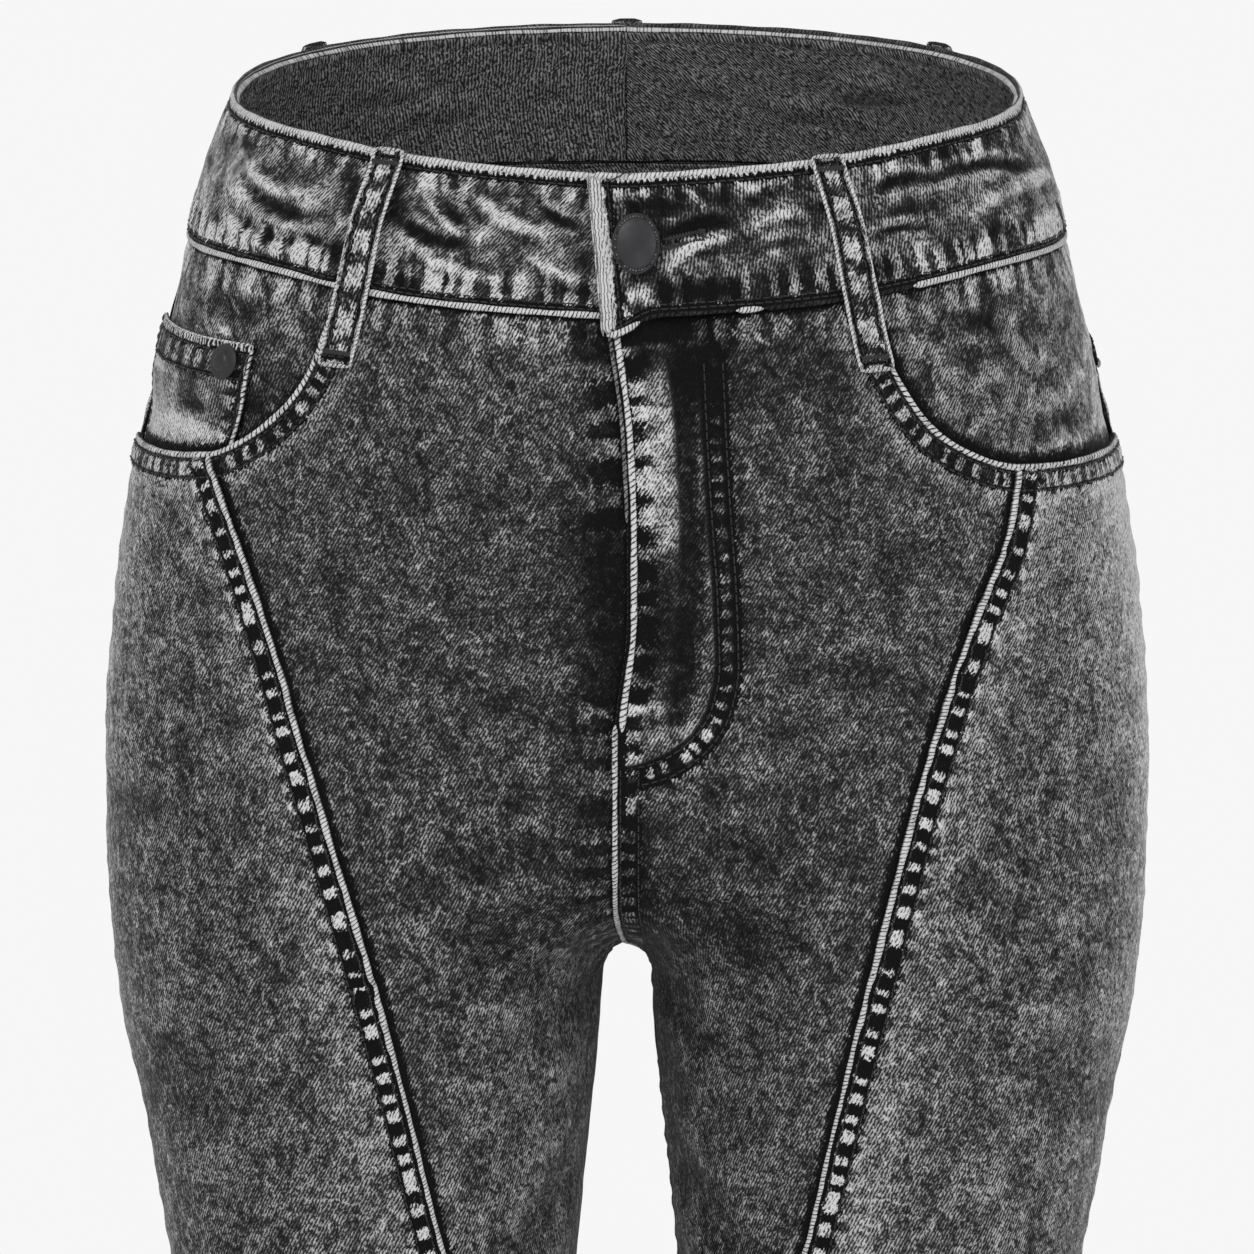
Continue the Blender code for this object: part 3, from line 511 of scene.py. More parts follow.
# From one pucker to the next, in millimetres, as the tables below
LADDER = 7.5  # along the slanting seams, where each leaves a pale patch
MOUTH_PITCH = 5.2
FLY_PITCH = 9.8
J_PITCH = 5.7
FAN = 7.2  # above and below the waistband's seam
START, END = -1000, 9000  # before any seam begins, and past its end

# The shape of the cloth beside each seam. A raise is full from the seam out to its start and gone at its
# end, a groove lies at its start and is as wide as its end, and puckers run from start to end. Begin and
# finish are lengths along the seam.
Relief = namedtuple("Relief", "kind start end height pitch begin finish", defaults=(0, START, END))
MOUTH_RELIEF = (
    ("raise", 8.2, 10.5, 0.8), ("raise", 0, 0.9, -0.7), ("groove", 2.3, 0.6, 0.45),
    ("groove", 7.8, 0.6, 0.45), ("pucker", 0.8, 10, 0.28, MOUTH_PITCH),
)
JOIN_RELIEF = (
    ("raise", 8.2, 11, 0.8), ("groove", 1.9, 0.6, 0.45), ("groove", 7.6, 0.6, 0.45),
    ("pucker", 1, 11, 0.33, LADDER),
)
WAIST_RELIEF = (("raise", 0, 2.2, -0.6), ("pucker", 1, 8, 0.25, 9.1))
LEG_RELIEF = {
    "side": (("raise", 0, 3, -0.7), ("pucker", 1, 10, 0.25, 11)),
    "inseam": (("raise", 0, 3, -0.6),),
    "hem": (("raise", 15, 17, 0.7), ("groove", 13.2, 0.7, 0.5), ("pucker", 0.5, 17, 0.35, 12)),
}
RELIEFS = {
    "front_centre": {
        "mouth": MOUTH_RELIEF,
        "slant": (("raise", 0, 4, -0.5),),
        "fly_over": (
            ("raise", 0, 1, -0.8), ("pucker", 1, 10, 0.4, FLY_PITCH, 0, 148),
            ("pucker", 1, 8, 0.3, LADDER, 150), ("groove", 1.7, 0.6, 0.4, 0, 150),
            ("groove", 7.2, 0.6, 0.4, 0, 150),
        ),
        "fly_under": (("raise", 0, 6, -0.6), ("pucker", 2, 12, 0.4, 12.8)),
        "j_stitch": (
            ("groove", -2.9, 0.7, 0.5), ("groove", 2.9, 0.7, 0.5), ("pucker", -4, 7, 0.3, J_PITCH),
        ),
        "waist": WAIST_RELIEF,
    },
    "front_side": {
        "slant": (
            ("raise", 7.8, 12, 0.9), ("raise", 0, 1, -0.7), ("groove", 1.9, 0.6, 0.5),
            ("groove", 7.2, 0.6, 0.5), ("pucker", 0.8, 11, 0.35, LADDER),
        ),
        "mouth": MOUTH_RELIEF,
        **LEG_RELIEF,
    },
    "back_leg": {
        "yoke": (("raise", 0, 4, -0.5),),
        "rise": JOIN_RELIEF,
        **LEG_RELIEF,
    },
    "back_yoke": {
        "yoke": JOIN_RELIEF,
        "rise": (("raise", 8.2, 11, 0.8), ("pucker", 1, 11, 0.25, LADDER)),
        "waist": WAIST_RELIEF,
    },
    "waistband": {
        "rim": (("raise", 0, 1.4, -0.8), ("groove", 3, 0.8, 0.7), ("pucker", 3.4, 9, 0.25, FAN)),
        "band_seam": (
            ("raise", 0, 1.2, -0.6), ("groove", 1.7, 0.6, 0.4), ("groove", 3.1, 0.6, 0.4),
            ("pucker", 1.5, 12, 0.45, FAN),
        ),
        "flap": (("raise", 0, 1.6, -0.9), ("groove", 4.6, 0.7, 0.4)),
        "buttonhole": (("groove", 0, 0.9, 1.1), ("groove", 3.4, 1.2, -0.5)),
    },
    "facing": {
        "waist": (("raise", 0, 2.2, -0.6), ("pucker", 1, 7, 0.25, 9.1)),
        "side": (("raise", 0, 3, -0.5),),
    },
    "coin_pocket": {
        "coin_top": (
            ("groove", 2.8, 0.6, 0.4), ("groove", 10.6, 0.6, 0.4), ("raise", 11, 13, 0.5),
            ("pucker", 0.5, 12, 0.25, 6),
        ),
        "coin_side": (("groove", 1.9, 0.6, 0.4), ("pucker", 0.5, 6, 0.2, 6)),
        "coin_outer": (("groove", 1.9, 0.6, 0.4), ("groove", 5.3, 0.6, 0.4)),
    },
    "back_pocket": {
        "outline": (
            ("groove", 2.1, 0.6, 0.4), ("groove", 7.8, 0.6, 0.4), ("pucker", 0.5, 10, 0.28, LADDER),
        ),
        "opening": (("raise", 15, 17, 0.6), ("groove", 2.6, 0.6, 0.4), ("groove", 14, 0.6, 0.4)),
    },
    "belt_loop": {
        "loop_edge": (("groove", 1.9, 0.5, 0.4), ("pucker", 0.5, 6, 0.18, 6.8)),
    },
}

# The wear of the colour beside each seam, and beside some seams a painted shadow, fading over the soft
# length: patch and gap are how much paler the patches and darker the gaps between them are, and share how
# wide the patches are. With no pitch the whole
# band takes the patch's value.
Wear = namedtuple("Wear", "start end soft patch gap pitch share begin finish", defaults=(0, 0, 1, START, END))
DARK_EDGE = (-1, 0.6, 1.6, -0.85)
JOIN_WEAR = ((-1, 1.4, 0.6, -0.85), (2.4, 6.8, 0.7, 0.34, 0.34, LADDER), (7.3, 8, 0.5, -0.6))
LEG_WEAR = {
    "side": (DARK_EDGE, (2, 8, 4, 0.16, 0.1, 11)),
    "inseam": (DARK_EDGE, (2, 8, 4, 0.1, 0.1, 11)),
    "hem": ((-1, 11, 1.5, 0.28, 0.22, 12), (12.8, 13.8, 0.5, -0.7), (15, 17, 2, -0.25)),
}


def mouth_wear(patch, gap, share):
    """A pocket mouth's edge, its two dark stitched lines and the patches between them."""
    patches = (3.1, 6.6, 0.9, patch, gap, MOUTH_PITCH, share)
    return ((-1, 0.6, 1, -0.5), (2, 2.6, 0.4, -0.8), patches, (7.5, 8.2, 0.5, -0.8), (9, 11.5, 4, 0.14))


SEAM_WEAR_AND_SHADE = {
    "front_centre": {
        "mouth": mouth_wear(0.22, 0.36, 0.7),
        # slant: painted shadow on the centre panel under the raised fold of the slanting seam
        "slant": ((-1, 1.4, 3, -0.95),),
        "inseam": LEG_WEAR["inseam"],
        # waist: the first row is painted shadow under the waistband's edge; the second is the wash
        "waist": ((-1, 0.8, 2, -0.75), (3.5, 8, 5, 0.22, 0.04, 9.1, 1.1)),
        "fly_over": (
            (-1, 3.2, 0.6, -0.9, 0, 0, 1, START, 150), (3.2, 6.6, 3, 0.36, 0.36, FLY_PITCH, 1.2, 12, 66),
            (3.2, 8, 2.2, 0.02, 0.52, FLY_PITCH, 0.5, 66, 115),
            (3.2, 6.6, 3, 0.3, 0.36, FLY_PITCH, 1.1, 115, 148), (6.6, 15.8, 0.6, 0.28, 0, 0, 1, 20, 68),
            (3, 24, 4, -0.7, 0, 0, 1, START, 9), (17.2, 20.5, 4, -0.24, 0, 0, 1, START, 122),
            (9.5, 20, 6, -0.16, 0, 0, 1, 90, 124), (2.4, 6.6, 0.8, 0.26, 0.34, LADDER, 1, 152),
            (6.8, 7.8, 0.5, -0.6, 0, 0, 1, 150), (-1, 9, 6, -0.16, 0, 0, 1, 152),
        ),
        # fly_under: the right panel where it lies under the fly's fold. The dark band along the fold is
        # partly painted shadow of the fly above it; the pale spikes across it are the wash.
        "fly_under": (
            (-1, 0.6, 1, -0.85), (-1, 4, 13, 0.18, 0.38, 12.8, 1.1, 20, 62),
            (-1, 5, 12, -0.16, 0.26, 12.8, 0.8, 62, 118), (-1, 5, 13, 0.04, 0.26, 11.8, 1, 118),
            (-1, 6, 12, -0.4, 0, 0, 1, START, 12),
        ),
        "j_stitch": (
            (-3.6, -2.2, 1, -0.6), (2.2, 3.8, 1, -0.6),
            (-1.8, 1.8, 1.6, 0.04, 0.32, J_PITCH, 0.5, START, 98),
            (-1.8, 1.8, 1.6, 0.24, 0.42, J_PITCH, 0.95, 98), (4, 5, 6, 0.06, 0.12, J_PITCH, 0.9),
        ),
    },
    "front_side": {
        "mouth": mouth_wear(0.14, 0.26, 0.95),
        **LEG_WEAR,
        "slant": (
            (-1, 1.8, 0.4, -0.95), (2.7, 6.2, 0.5, 0.55, 0.7, LADDER, 0.8), (6.6, 7.4, 0.6, -0.7),
            (8, 9.6, 1.6, 0.22, 0.14, LADDER, 1.1, START, 150), (8, 9.2, 1.6, 0.1, 0.14, LADDER, 1, 154),
            (11, 15, 9, 0.1),
        ),
    },
    "back_leg": {
        **LEG_WEAR,
        # yoke: painted shadow on the back leg under the yoke's raised fold
        "yoke": ((-1, 0.8, 3.4, -0.8),),
        "rise": (*JOIN_WEAR, (9, 11, 5, 0.12)),
        # outline: painted shadow on the back leg round the patch pocket's edge
        "outline": ((-3, 0, 5, -0.4),),
    },
    "back_yoke": {
        "yoke": JOIN_WEAR,
        "rise": JOIN_WEAR[:2],
        # waist: the first row is painted shadow under the waistband's edge; the second is the wash
        "waist": ((-1, 1.2, 2.2, -0.75), (3.5, 10, 3, 0.2, 0.12, 9.1)),
        "side": (DARK_EDGE,),
    },
    "waistband": {
        "rim": (
            (-1, 1.4, 0.5, 0.5), (1.2, 2.2, 0.4, 0.35, 0.9, 1.7, 0.9), (2.2, 3.6, 0.5, -0.95),
            (4, 7, 5, 0.14, 0.16, FAN, 0.9),
        ),
        "buttonhole": ((-1, 3, 2, -0.75),),
        "band_seam": ((-1, 2.6, 0.8, -0.75), (4, 8, 5.5, 0.3, 0.22, FAN, 1.1)),
        "flap": ((-1, 3.4, 0.6, 0.5), (4.2, 5.4, 0.8, -0.8)),
    },
    "facing": {
        # waist: the first row is painted shadow under the waistband's edge; the second is the wash
        "waist": ((-1, 0.8, 2, -0.75), (3, 8, 5, 0.24, 0.04, 9.1, 1.1)),
        # mouth: painted shadow on the facing inside the pocket's opening, under the mouth's edge
        "mouth": ((-20, 1.6, 4.5, -0.8),),
        "side": (DARK_EDGE, (2, 8, 6, 0.16)),
        # coin_side: painted shadow on the facing beside the coin pocket's edge
        "coin_side": ((-3, 0, 3, -0.45),),
    },
    "coin_pocket": {
        "coin_top": (
            (-1, 1.8, 0.5, 0.5, 0.3, 1.6, 1.1), (2.4, 3.3, 0.4, -0.85),
            (3.8, 9.6, 1.4, 0.16, 0.2, 7.5, 0.9), (10.2, 11, 0.4, -0.8), (11.4, 13.5, 2, 0.22),
        ),
        "coin_side": ((1.6, 2.4, 0.4, -0.8), (3, 6, 1, 0.2, 0.2, 6)),
        # mouth: painted shadow on the coin pocket where it tucks in behind the pocket's mouth
        "mouth": ((-20, 2.4, 2.2, -0.95),),
        "coin_outer": ((1.6, 2.4, 0.4, -0.85), (5, 5.8, 0.4, -0.7)),
    },
    "back_pocket": {
        "outline": ((1.8, 2.5, 0.4, -0.75), (3, 6.8, 0.8, 0.3, 0.24, LADDER), (7.5, 8.1, 0.4, -0.7)),
        "opening": ((2.2, 3, 0.4, -0.75), (3.6, 13, 1, 0.14, 0.12, 8), (13.6, 14.4, 0.4, -0.7)),
    },
    "belt_loop": {
        "loop_edge": ((1.3, 2.3, 0.4, -0.95), (3, 6, 1.2, 0.08, 0.42, 12.5, 1.55, 4)),
        "loop_end": ((1.8, 3, 0.4, -0.9),),
    },
}

# Creases as soft troughs between two places on the form. A ridge has a depth below zero.
Crease = namedtuple("Crease", "height around end_height end_around width depth")
CREASES = {
    BOTH: (
        (-203, 0.035, -214, 0.12, 5, 0.9), (-222, 0.03, -238, 0.15, 6.5, 1.1),
        (-246, 0.028, -268, 0.17, 7.5, 1.1), (-272, 0.02, -300, 0.14, 8, 0.8),
        (-330, 0.03, -372, 0.16, 10, 1.2), (-215, 0.33, -228, 0.48, 10, 1),
        (-300, 0.3, -330, 0.52, 13, 1.2), (-262, 0.985, -300, 0.86, 8.5, 2.2),
        (-286, 0.98, -330, 0.8, 9.5, 2.4), (-318, 0.975, -362, 0.77, 10, 1.8),
        (-236, 0.96, -262, 0.82, 8, 1.4), (-150, 0.965, -164, 0.9, 7, 1), (-560, 0.94, -588, 0.7, 9.5, 2),
        (-592, 0.92, -604, 0.62, 8.5, 2.2), (-622, 0.95, -640, 0.69, 10, 1.8),
        (-655, 0.9, -664, 0.66, 11, 1.2), (-590, 0.06, -612, 0.24, 10, 1.3),
        (-560, 0.38, -575, 0.5, 9, 1.2), (-625, 0.08, -636, 0.33, 11, 1.2),
        (-760, 0.18, -930, 0.215, 16, 1.8), (-820, 0.42, -1020, 0.455, 17, 1.8),
        (-780, 0.76, -990, 0.8, 17, 2),
    ),
    LEFT: (
        (-120, 0.165, -133, 0.25, 7, 1), (-168, 0.125, -172, 0.215, 6, 0.9),
    ),
    RIGHT: (
        (-147, 0.03, -160, 0.1, 5, 0.9), (-181, 0.028, -176, 0.13, 6, 1), (-108, 0.06, -98, 0.15, 7, 0.9),
    ),
}
FACING_CREASES = {
    LEFT: (
        (-52, 0.262, -58, 0.33, 3.2, 0.9), (-60, 0.255, -70, 0.345, 3.6, 1),
        (-72, 0.29, -80, 0.4, 4, 0.9), (-88, 0.33, -96, 0.43, 4, 0.8),
    ),
    RIGHT: (
        (-50, 0.3, -54, 0.38, 3, 0.7), (-78, 0.272, -90, 0.3, 3.5, 0.8),
    ),
}
BAND_CREASES = {
    BOTH: (
        (-15, 0.56, -22, 0.64, 3.4, 1), (-12, 0.73, -20, 0.83, 3.6, 1.1),
        (-27, 0.77, -23, 0.88, 3.2, 0.9), (-18, 0.9, -14, 0.96, 3.4, 0.9),
    ),
    LEFT: (
        (-7.5, 0.003, -7.3, 0.026, 1.3, -0.87), (-3.7, 0.038, -14, 0.071, 1.4, -0.95),
        (-15.5, 0.023, -14.7, 0.045, 1.1, -0.95), (-21.5, 0.025, -14.7, 0.098, 1.9, 1.55),
        (-29.5, 0.025, -19, 0.094, 1.6, -1.55), (-10.5, 0.208, -8.3, 0.29, 1.7, 1.25),
        (-9.5, 0.251, -17.7, 0.437, 1.7, 1.3), (-21, 0.198, -19.5, 0.274, 1.1, -0.9),
        (-23.2, 0.201, -23, 0.275, 0.8, 1.25), (-22.5, 0.284, -24.3, 0.5, 2.2, -1.05),
        (2.7, 0.344, -5.5, 0.326, 1.6, -0.8), (-1.8, 0.382, -8.5, 0.383, 1.3, -0.7),
        (-22.2, 0.355, -30, 0.356, 1.4, -0.8), (-12, 0.093, -6.5, 0.152, 1.6, 0.87),
        (-17.7, 0.096, -13.8, 0.161, 1.6, -0.87), (-25.3, 0.098, -22.2, 0.16, 1.4, 0.87),
    ),
    RIGHT: (
        (-8.3, 0.375, -9, 0.259, 1.6, -0.75), (-9.7, 0.388, -16.3, 0.239, 2.1, 1.25),
        (-21.7, 0.401, -25.7, 0.239, 1.9, -1.05), (-21.3, 0.345, -32, 0.349, 1.3, 1.13),
        (-22, 0.318, -31.8, 0.317, 1.3, 1.13), (-23.2, 0.284, -26.5, 0.254, 1.4, 0.87),
        (-26.5, 0.365, -33, 0.364, 1.1, -0.75), (-27.5, 0.328, -33, 0.328, 1.1, -0.75),
        (-24.5, 0.297, -32.3, 0.304, 1.3, -0.75), (-14.7, 0.201, -21.3, 0.122, 1.9, 1.38),
        (-5, 0.169, -17.5, 0.126, 1.7, 1.05), (-4.3, 0.184, -19, 0.136, 1.1, -0.7),
        (-4.7, 0.143, -18.5, 0.042, 1.9, -1.2), (-7.5, 0.082, -16, 0.032, 1.4, 1.38),
        (-19.5, 0.198, -31.2, 0.068, 1.6, -0.95), (-22, 0.087, -31.5, 0.025, 1.6, -0.8),
        (-29.7, 0.148, -36, 0.146, 1.4, 1.13), (-29.5, 0.1, -36.5, 0.099, 1.4, 1),
    ),
}

# Soft wrinkles all over a piece: their width, how many times longer they are, their slope and depth
Wrinkles = namedtuple("Wrinkles", "size longer lean depth seed")
WRINKLES = {
    "waistband": Wrinkles(0.0105, 3.0, 0.40, 0.00035, 11),
    "facing": Wrinkles(0.0130, 2.5, 0.30, 0.00045, 5),
    "coin_pocket": Wrinkles(0.0110, 2.0, 0.30, 0.00030, 3),
}

# Soft pale and dark blotches, most of them the wash's own. Some rows, marked below, are painted shadows, and
# some are partly painted light.
Blotch = namedtuple("Blotch", "height around tall wide wash")
WASH_AND_SHADE_BLOTCHES = {
    BOTH: (
        # The first three rows are pale zones along the side seams, partly the wash and partly painted light
        # standing in for the paler grazing light where the legs turn away at the silhouette.
        (-125, 0.48, 60, 34, 0.16), (-230, 0.48, 120, 32, 0.13), (-200, 0.545, 110, 28, 0.12),
        (-260, 0.01, 20, 30, 0.1), (-250, 0.5, 300, 28, 0.1), (-250, 0.01, 30, 40, -0.16),
        (-560, 0.25, 70, 70, 0.1), (-430, 0.25, 110, 60, 0.05), (-230, 0.8, 60, 70, 0.12),
        (-600, 0.78, 60, 60, -0.1), (-300, 0.96, 40, 30, -0.16), (-900, 0.75, 90, 90, 0.06),
        (-850, 0.3, 100, 80, 0.04),
    ),
    LEFT: (
        # The first row is a pale zone along the side seam, partly the wash and partly painted light at the
        # silhouette.
        (-190, 0.47, 120, 36, 0.2), (-110, 0.42, 30, 34, 0.12), (-150, 0.4, 60, 60, 0.1),
        # The first row is a painted shadow on the cloth round the button.
        (-21, 0.007, 9.8, 9, -0.6), (-10.7, 0.007, 1.6, 4.4, -0.35), (-9.7, 0.035, 2.2, 3.5, -0.45),
        (-8.3, 0.079, 2.8, 3.2, -0.45), (-35.5, 0.003, 3.2, 5.4, 0.75), (-34.5, 0.06, 3.2, 14.2, -0.75),
        (-33.3, 0.101, 4.4, 3.2, 0.4), (-5.5, 0.105, 2.5, 4.2, 0.35), (-32.3, 0.134, 3.8, 6.7, -0.3),
        (-2.2, 0.233, 2.8, 8.3, 0.28), (-1.5, 0.274, 2.5, 2.4, -0.5), (-0.5, 0.299, 1.9, 3.1, -0.45),
        (-0.3, 0.365, 2.8, 4.2, -0.5), (-1.5, 0.414, 2.5, 4.2, -0.45), (-4.7, 0.24, 1.9, 2.5, -0.3),
        (-14.5, 0.247, 2.5, 14.8, -0.28), (-27.2, 0.253, 4.7, 5.1, 0.42), (-31, 0.214, 2.5, 5.2, -0.5),
        (-25.7, 0.336, 2.5, 3.7, -0.65), (-27.5, 0.305, 2.5, 3.7, -0.5), (-27, 0.371, 2.8, 5.9, -0.45),
        (-20.8, 0.297, 1.9, 2.6, -0.3), (-29.5, 0.319, 2.2, 3.3, 0.3), (-29.5, 0.418, 2.8, 6.3, 0.28),
        (-26.5, 0.498, 10.8, 8.4, 0.2), (-55.8, 0.01, 5.4, 4.1, -0.75), (-58.7, 0.058, 13.9, 7.6, -0.55),
        (-63, 0.01, 0.8, 3.2, 0.35), (-122.2, 0.052, 19, 2.9, -0.15), (-174.2, 0.018, 3.2, 7.6, 0.45),
        (-177.5, 0.044, 8.2, 3.2, 0.3), (-185, 0.023, 3.8, 6.3, 0.22), (-166.5, 0.011, 1.3, 2.9, 0.3),
        (-170, 0.068, 3.5, 1.3, 0.45), (-176.2, 0.065, 3.2, 1.3, 0.45), (-182, 0.058, 2.5, 1.6, 0.4),
        (-136.5, 0.027, 14, 4.4, -0.16), (-174.2, 0.075, 2.8, 0.9, 0.3), (-195, 0.05, 2.8, 5.9, 0.22),
        (-35.7, 0.004, 3.5, 6.7, 0.35), (-122, 0.011, 28.5, 4, -0.05), (-70, 0.35, 20, 50, 0.09),
        (-340, 0.33, 100, 80, 0.05), (-37, 0.09, 9, 30, -0.25), (-12, 0.09, 7, 30, -0.18),
        (-59, 0.14, 10, 30, -0.14),
    ),
    RIGHT: (
        (-150, 0.44, 70, 40, 0.06), (-27.2, 0.395, 1.9, 3.9, -0.4), (-3.5, 0.41, 1.6, 3.5, -0.4),
        (-3.5, 0.389, 1.9, 3.7, -0.42), (-18.5, 0.404, 1.6, 3.5, -0.35), (-26.7, 0.25, 2.2, 2.6, -0.5),
        # The second and third rows are painted shadows on the band on both sides of the front right belt
        # loop.
        (-28.3, 0.265, 2.5, 2.3, 0.28), (-11, 0.244, 7.6, 1.8, -0.45), (-9.5, 0.2, 7, 2.1, -0.5),
        (-34.3, 0.182, 2.5, 4.2, -0.55), (-33.5, 0.131, 3.5, 3.2, 0.32), (-33.3, 0.083, 2.8, 2.8, 0.32),
        (-34.8, 0.047, 2.5, 7.6, -0.55), (-25.7, 0.036, 2.8, 2.9, -0.5), (-6.5, 0.106, 1.3, 4.1, -0.28),
        (-15, 0.016, 1.9, 1.4, 0.45), (-20.5, 0.016, 2.2, 1.4, 0.45), (-27.5, 0.013, 2.2, 1.6, 0.5),
        (-22.7, 0.455, 9.5, 9.7, 0.22), (-89.7, 0.378, 2.8, 18.7, 0.5), (-73.2, 0.383, 1.9, 10.3, -0.4),
        # The second row is a painted shadow on the facing beside the coin pocket.
        (-82.5, 0.375, 1.6, 5.7, -0.38), (-77, 0.356, 2.2, 5, 0.25), (-75.5, 0.3, 8.9, 3.6, -0.3),
        (-177.7, 0.028, 2.8, 2.6, 0.3), (-26, 0.014, 2.5, 1.3, 0.3), (-57, 0.351, 1.3, 4, 0.6),
        (-18, 0.42, 18, 70, 0.07), (-92, 0.42, 10, 40, 0.22), (-74, 0.35, 8, 20, -0.12),
        (-330, 0.1, 70, 60, 0.1), (-130, 0.015, 45, 14, -0.22), (-56, 0.1, 8, 30, 0.1),
    ),
}

# The kinds of sheet: the slot, how far the cloth is washed out, how strongly it is
# marbled and mottled, how much paler it is for each metre that it stands up, and where its grain line is
SWELL_WASH = 80
Kind = namedtuple(
    "Kind", "slot wash marbling mottling crease_wash grain", defaults=(0.5, 1.0, SWELL_WASH, "front")
)
KINDS = {
    "front_centre": Kind("denim", 0.475),
    "front_side": Kind("denim_light", 0.505),
    "back_leg": Kind("denim", 0.47, grain="back"),
    "back_yoke": Kind("denim_light", 0.52, grain="back"),
    "waistband": Kind("denim_light", 0.605, 0.9, 0.65, 400, "band"),
    "facing": Kind("denim_light", 0.495, 0.9, 0.75, 230),
    "coin_pocket": Kind("denim", 0.52, 0.6, 0.55),
    "back_pocket": Kind("denim_light", 0.52, grain="back"),
    "belt_loop": Kind("denim_dark", 0.80, 0.6, 0.8),
}
GRAIN_ACROSS = 0.085  # the grain line of a leg's front and back runs down this far across

# Low swellings in every sheet: their size, height and seed. The first one's seed comes from the sheet's name
BROAD_SWELL = (0.030, 0.00035)
FINE_SWELL = (0.011, 0.00016)
FINE_SEED = 7


# ---- What a user would change ----


class JeansCloth(bpy.types.PropertyGroup):
    """Sizes of the cloth and its sewing"""

    cloth: FloatProperty(
        name="Cloth", description="Thickness of the denim", default=CLOTH, subtype="DISTANCE"
    )
    band_cloth: FloatProperty(
        name="Band", description="Thickness of the waistband", default=BAND_CLOTH, subtype="DISTANCE"
    )
    relief: FloatProperty(
        name="Relief", description="How strongly seams, puckers and creases stand out", default=1.0, max=1.5
    )
    thread: FloatProperty(
        name="Thread", description="Thickness of the sewing thread", default=0.00052, subtype="DISTANCE"
    )
    stitch: FloatProperty(
        name="Stitch", description="From one stitch to the next", default=0.0030, subtype="DISTANCE"
    )


class JeansWash(bpy.types.PropertyGroup):
    """Colours of the wash, the sewing and the trims"""

    dark: FloatProperty(name="Dark", description="Brightness of the unwashed cloth", default=0.0072)
    pale: FloatProperty(name="Pale", description="Brightness of the fully washed cloth", default=0.78)
    twill: FloatProperty(
        name="Twill", description="From one twill line to the next", default=0.00100, subtype="DISTANCE"
    )
    thread: FloatVectorProperty(
        name="Thread", description="Colour of the thread", default=(0.011, 0.011, 0.012), subtype="COLOR"
    )
    metal: FloatVectorProperty(
        name="Metal", description="Colour of the studs", default=(0.036, 0.036, 0.039), subtype="COLOR"
    )


class JeansStage(bpy.types.PropertyGroup):
    """The camera, the floor and the lights"""

    distance: FloatProperty(
        name="Distance", description="From the camera to the hips", default=2.6, subtype="DISTANCE"
    )
    rise: FloatProperty(
        name="Rise", description="How steeply the camera looks down", default=math.radians(7), subtype="ANGLE"
    )
    aim: FloatProperty(
        name="Aim", description="The height that the camera looks at", default=-0.165, subtype="DISTANCE"
    )
    frame_width: FloatProperty(
        name="Frame", description="The width of the picture at the hips", default=0.3968, subtype="DISTANCE"
    )
    floor: FloatVectorProperty(
        name="Floor", description="Colour of the floor", default=(0.86, 0.86, 0.87), subtype="COLOR"
    )
    backdrop: FloatProperty(name="Backdrop", description="Brightness of the backdrop", default=0.93)
    key: FloatProperty(name="Key", description="Power of the large light", default=30.0, subtype="POWER")


# ---- Materials ----

FULL_TURN = 2 * math.pi
CLOTH_GLOSS = 0.06  # how little unpolished cotton mirrors
THREAD_RELIEF = 0.0001  # how far twill and thread stand up in the materials


class Value:
    """A node's output that can be reckoned with like a number. Each step adds a node to its tree."""

    def __init__(self, socket):
        self.socket = socket
        self.tree = socket.id_data

    def __add__(self, other):
        return calc("ADD", self, other)

    def __sub__(self, other):
        return calc("SUBTRACT", self, other)

    def __rsub__(self, other):
        return calc("SUBTRACT", other, self)

    def __mul__(self, other):
        return calc("MULTIPLY", self, other)

    def __truediv__(self, other):
        return calc("DIVIDE", self, other)


def fill(tree, made, values):
    """Sets or links the sockets of a node."""
    for socket, value in values.items():
        if isinstance(value, Value):
            tree.links.new(value.socket, made.inputs[socket])
        else:
            made.inputs[socket].default_value = value


def node(tree, kind, values=(), **settings):
    """The outputs of a new shader node with its settings made and its sockets filled."""
    made = tree.nodes.new("ShaderNode" + kind)
    for name, value in settings.items():
        setattr(made, name, value)
    fill(tree, made, dict(values))
    return {key: Value(socket) for k, socket in enumerate(made.outputs) for key in (k, socket.name)}


def calc(operation, *values):
    tree = next(value.tree for value in values if isinstance(value, Value))
    return node(tree, "Math", enumerate(values), operation=operation)[0]


def scaled(colour, strength):
    return node(strength.tree, "VectorMath", {0: colour, "Scale": strength}, operation="SCALE")[0]


def parts(vector):
    found = node(vector.tree, "SeparateXYZ", {0: vector})
    return found[0], found[1], found[2]


def smooth(value, low, high, start=0.0, end=1.0):
    """A soft step from start to end while the value goes from low to high."""
    sockets = {"Value": value, "From Min": low, "From Max": high, "To Min": start, "To Max": end}
    return node(value.tree, "MapRange", sockets, interpolation_type="SMOOTHSTEP")[0]


def noise(vector, detail=2.0, roughness=0.5, distortion=0.0):
    sockets = {"Vector": vector, "Scale": 1.0, "Detail": detail, "Roughness": roughness}
    sockets["Distortion"] = distortion
    return node(vector.tree, "TexNoise", sockets, noise_dimensions="2D")["Fac"]


def stretched(vector, across, along, angle=0.0):
    """The cloth's flat places, turned and divided by two lengths."""
    tree = vector.tree
    turned = node(tree, "VectorRotate", {"Vector": vector, "Angle": angle}, rotation_type="Z_AXIS")[0]
    return node(tree, "VectorMath", {0: turned, 1: (1 / across, 1 / along, 0.0)}, operation="MULTIPLY")[0]


def centred(value, amount):
    """A noise's value, made to swing about zero."""
    return (value - 0.5) * amount


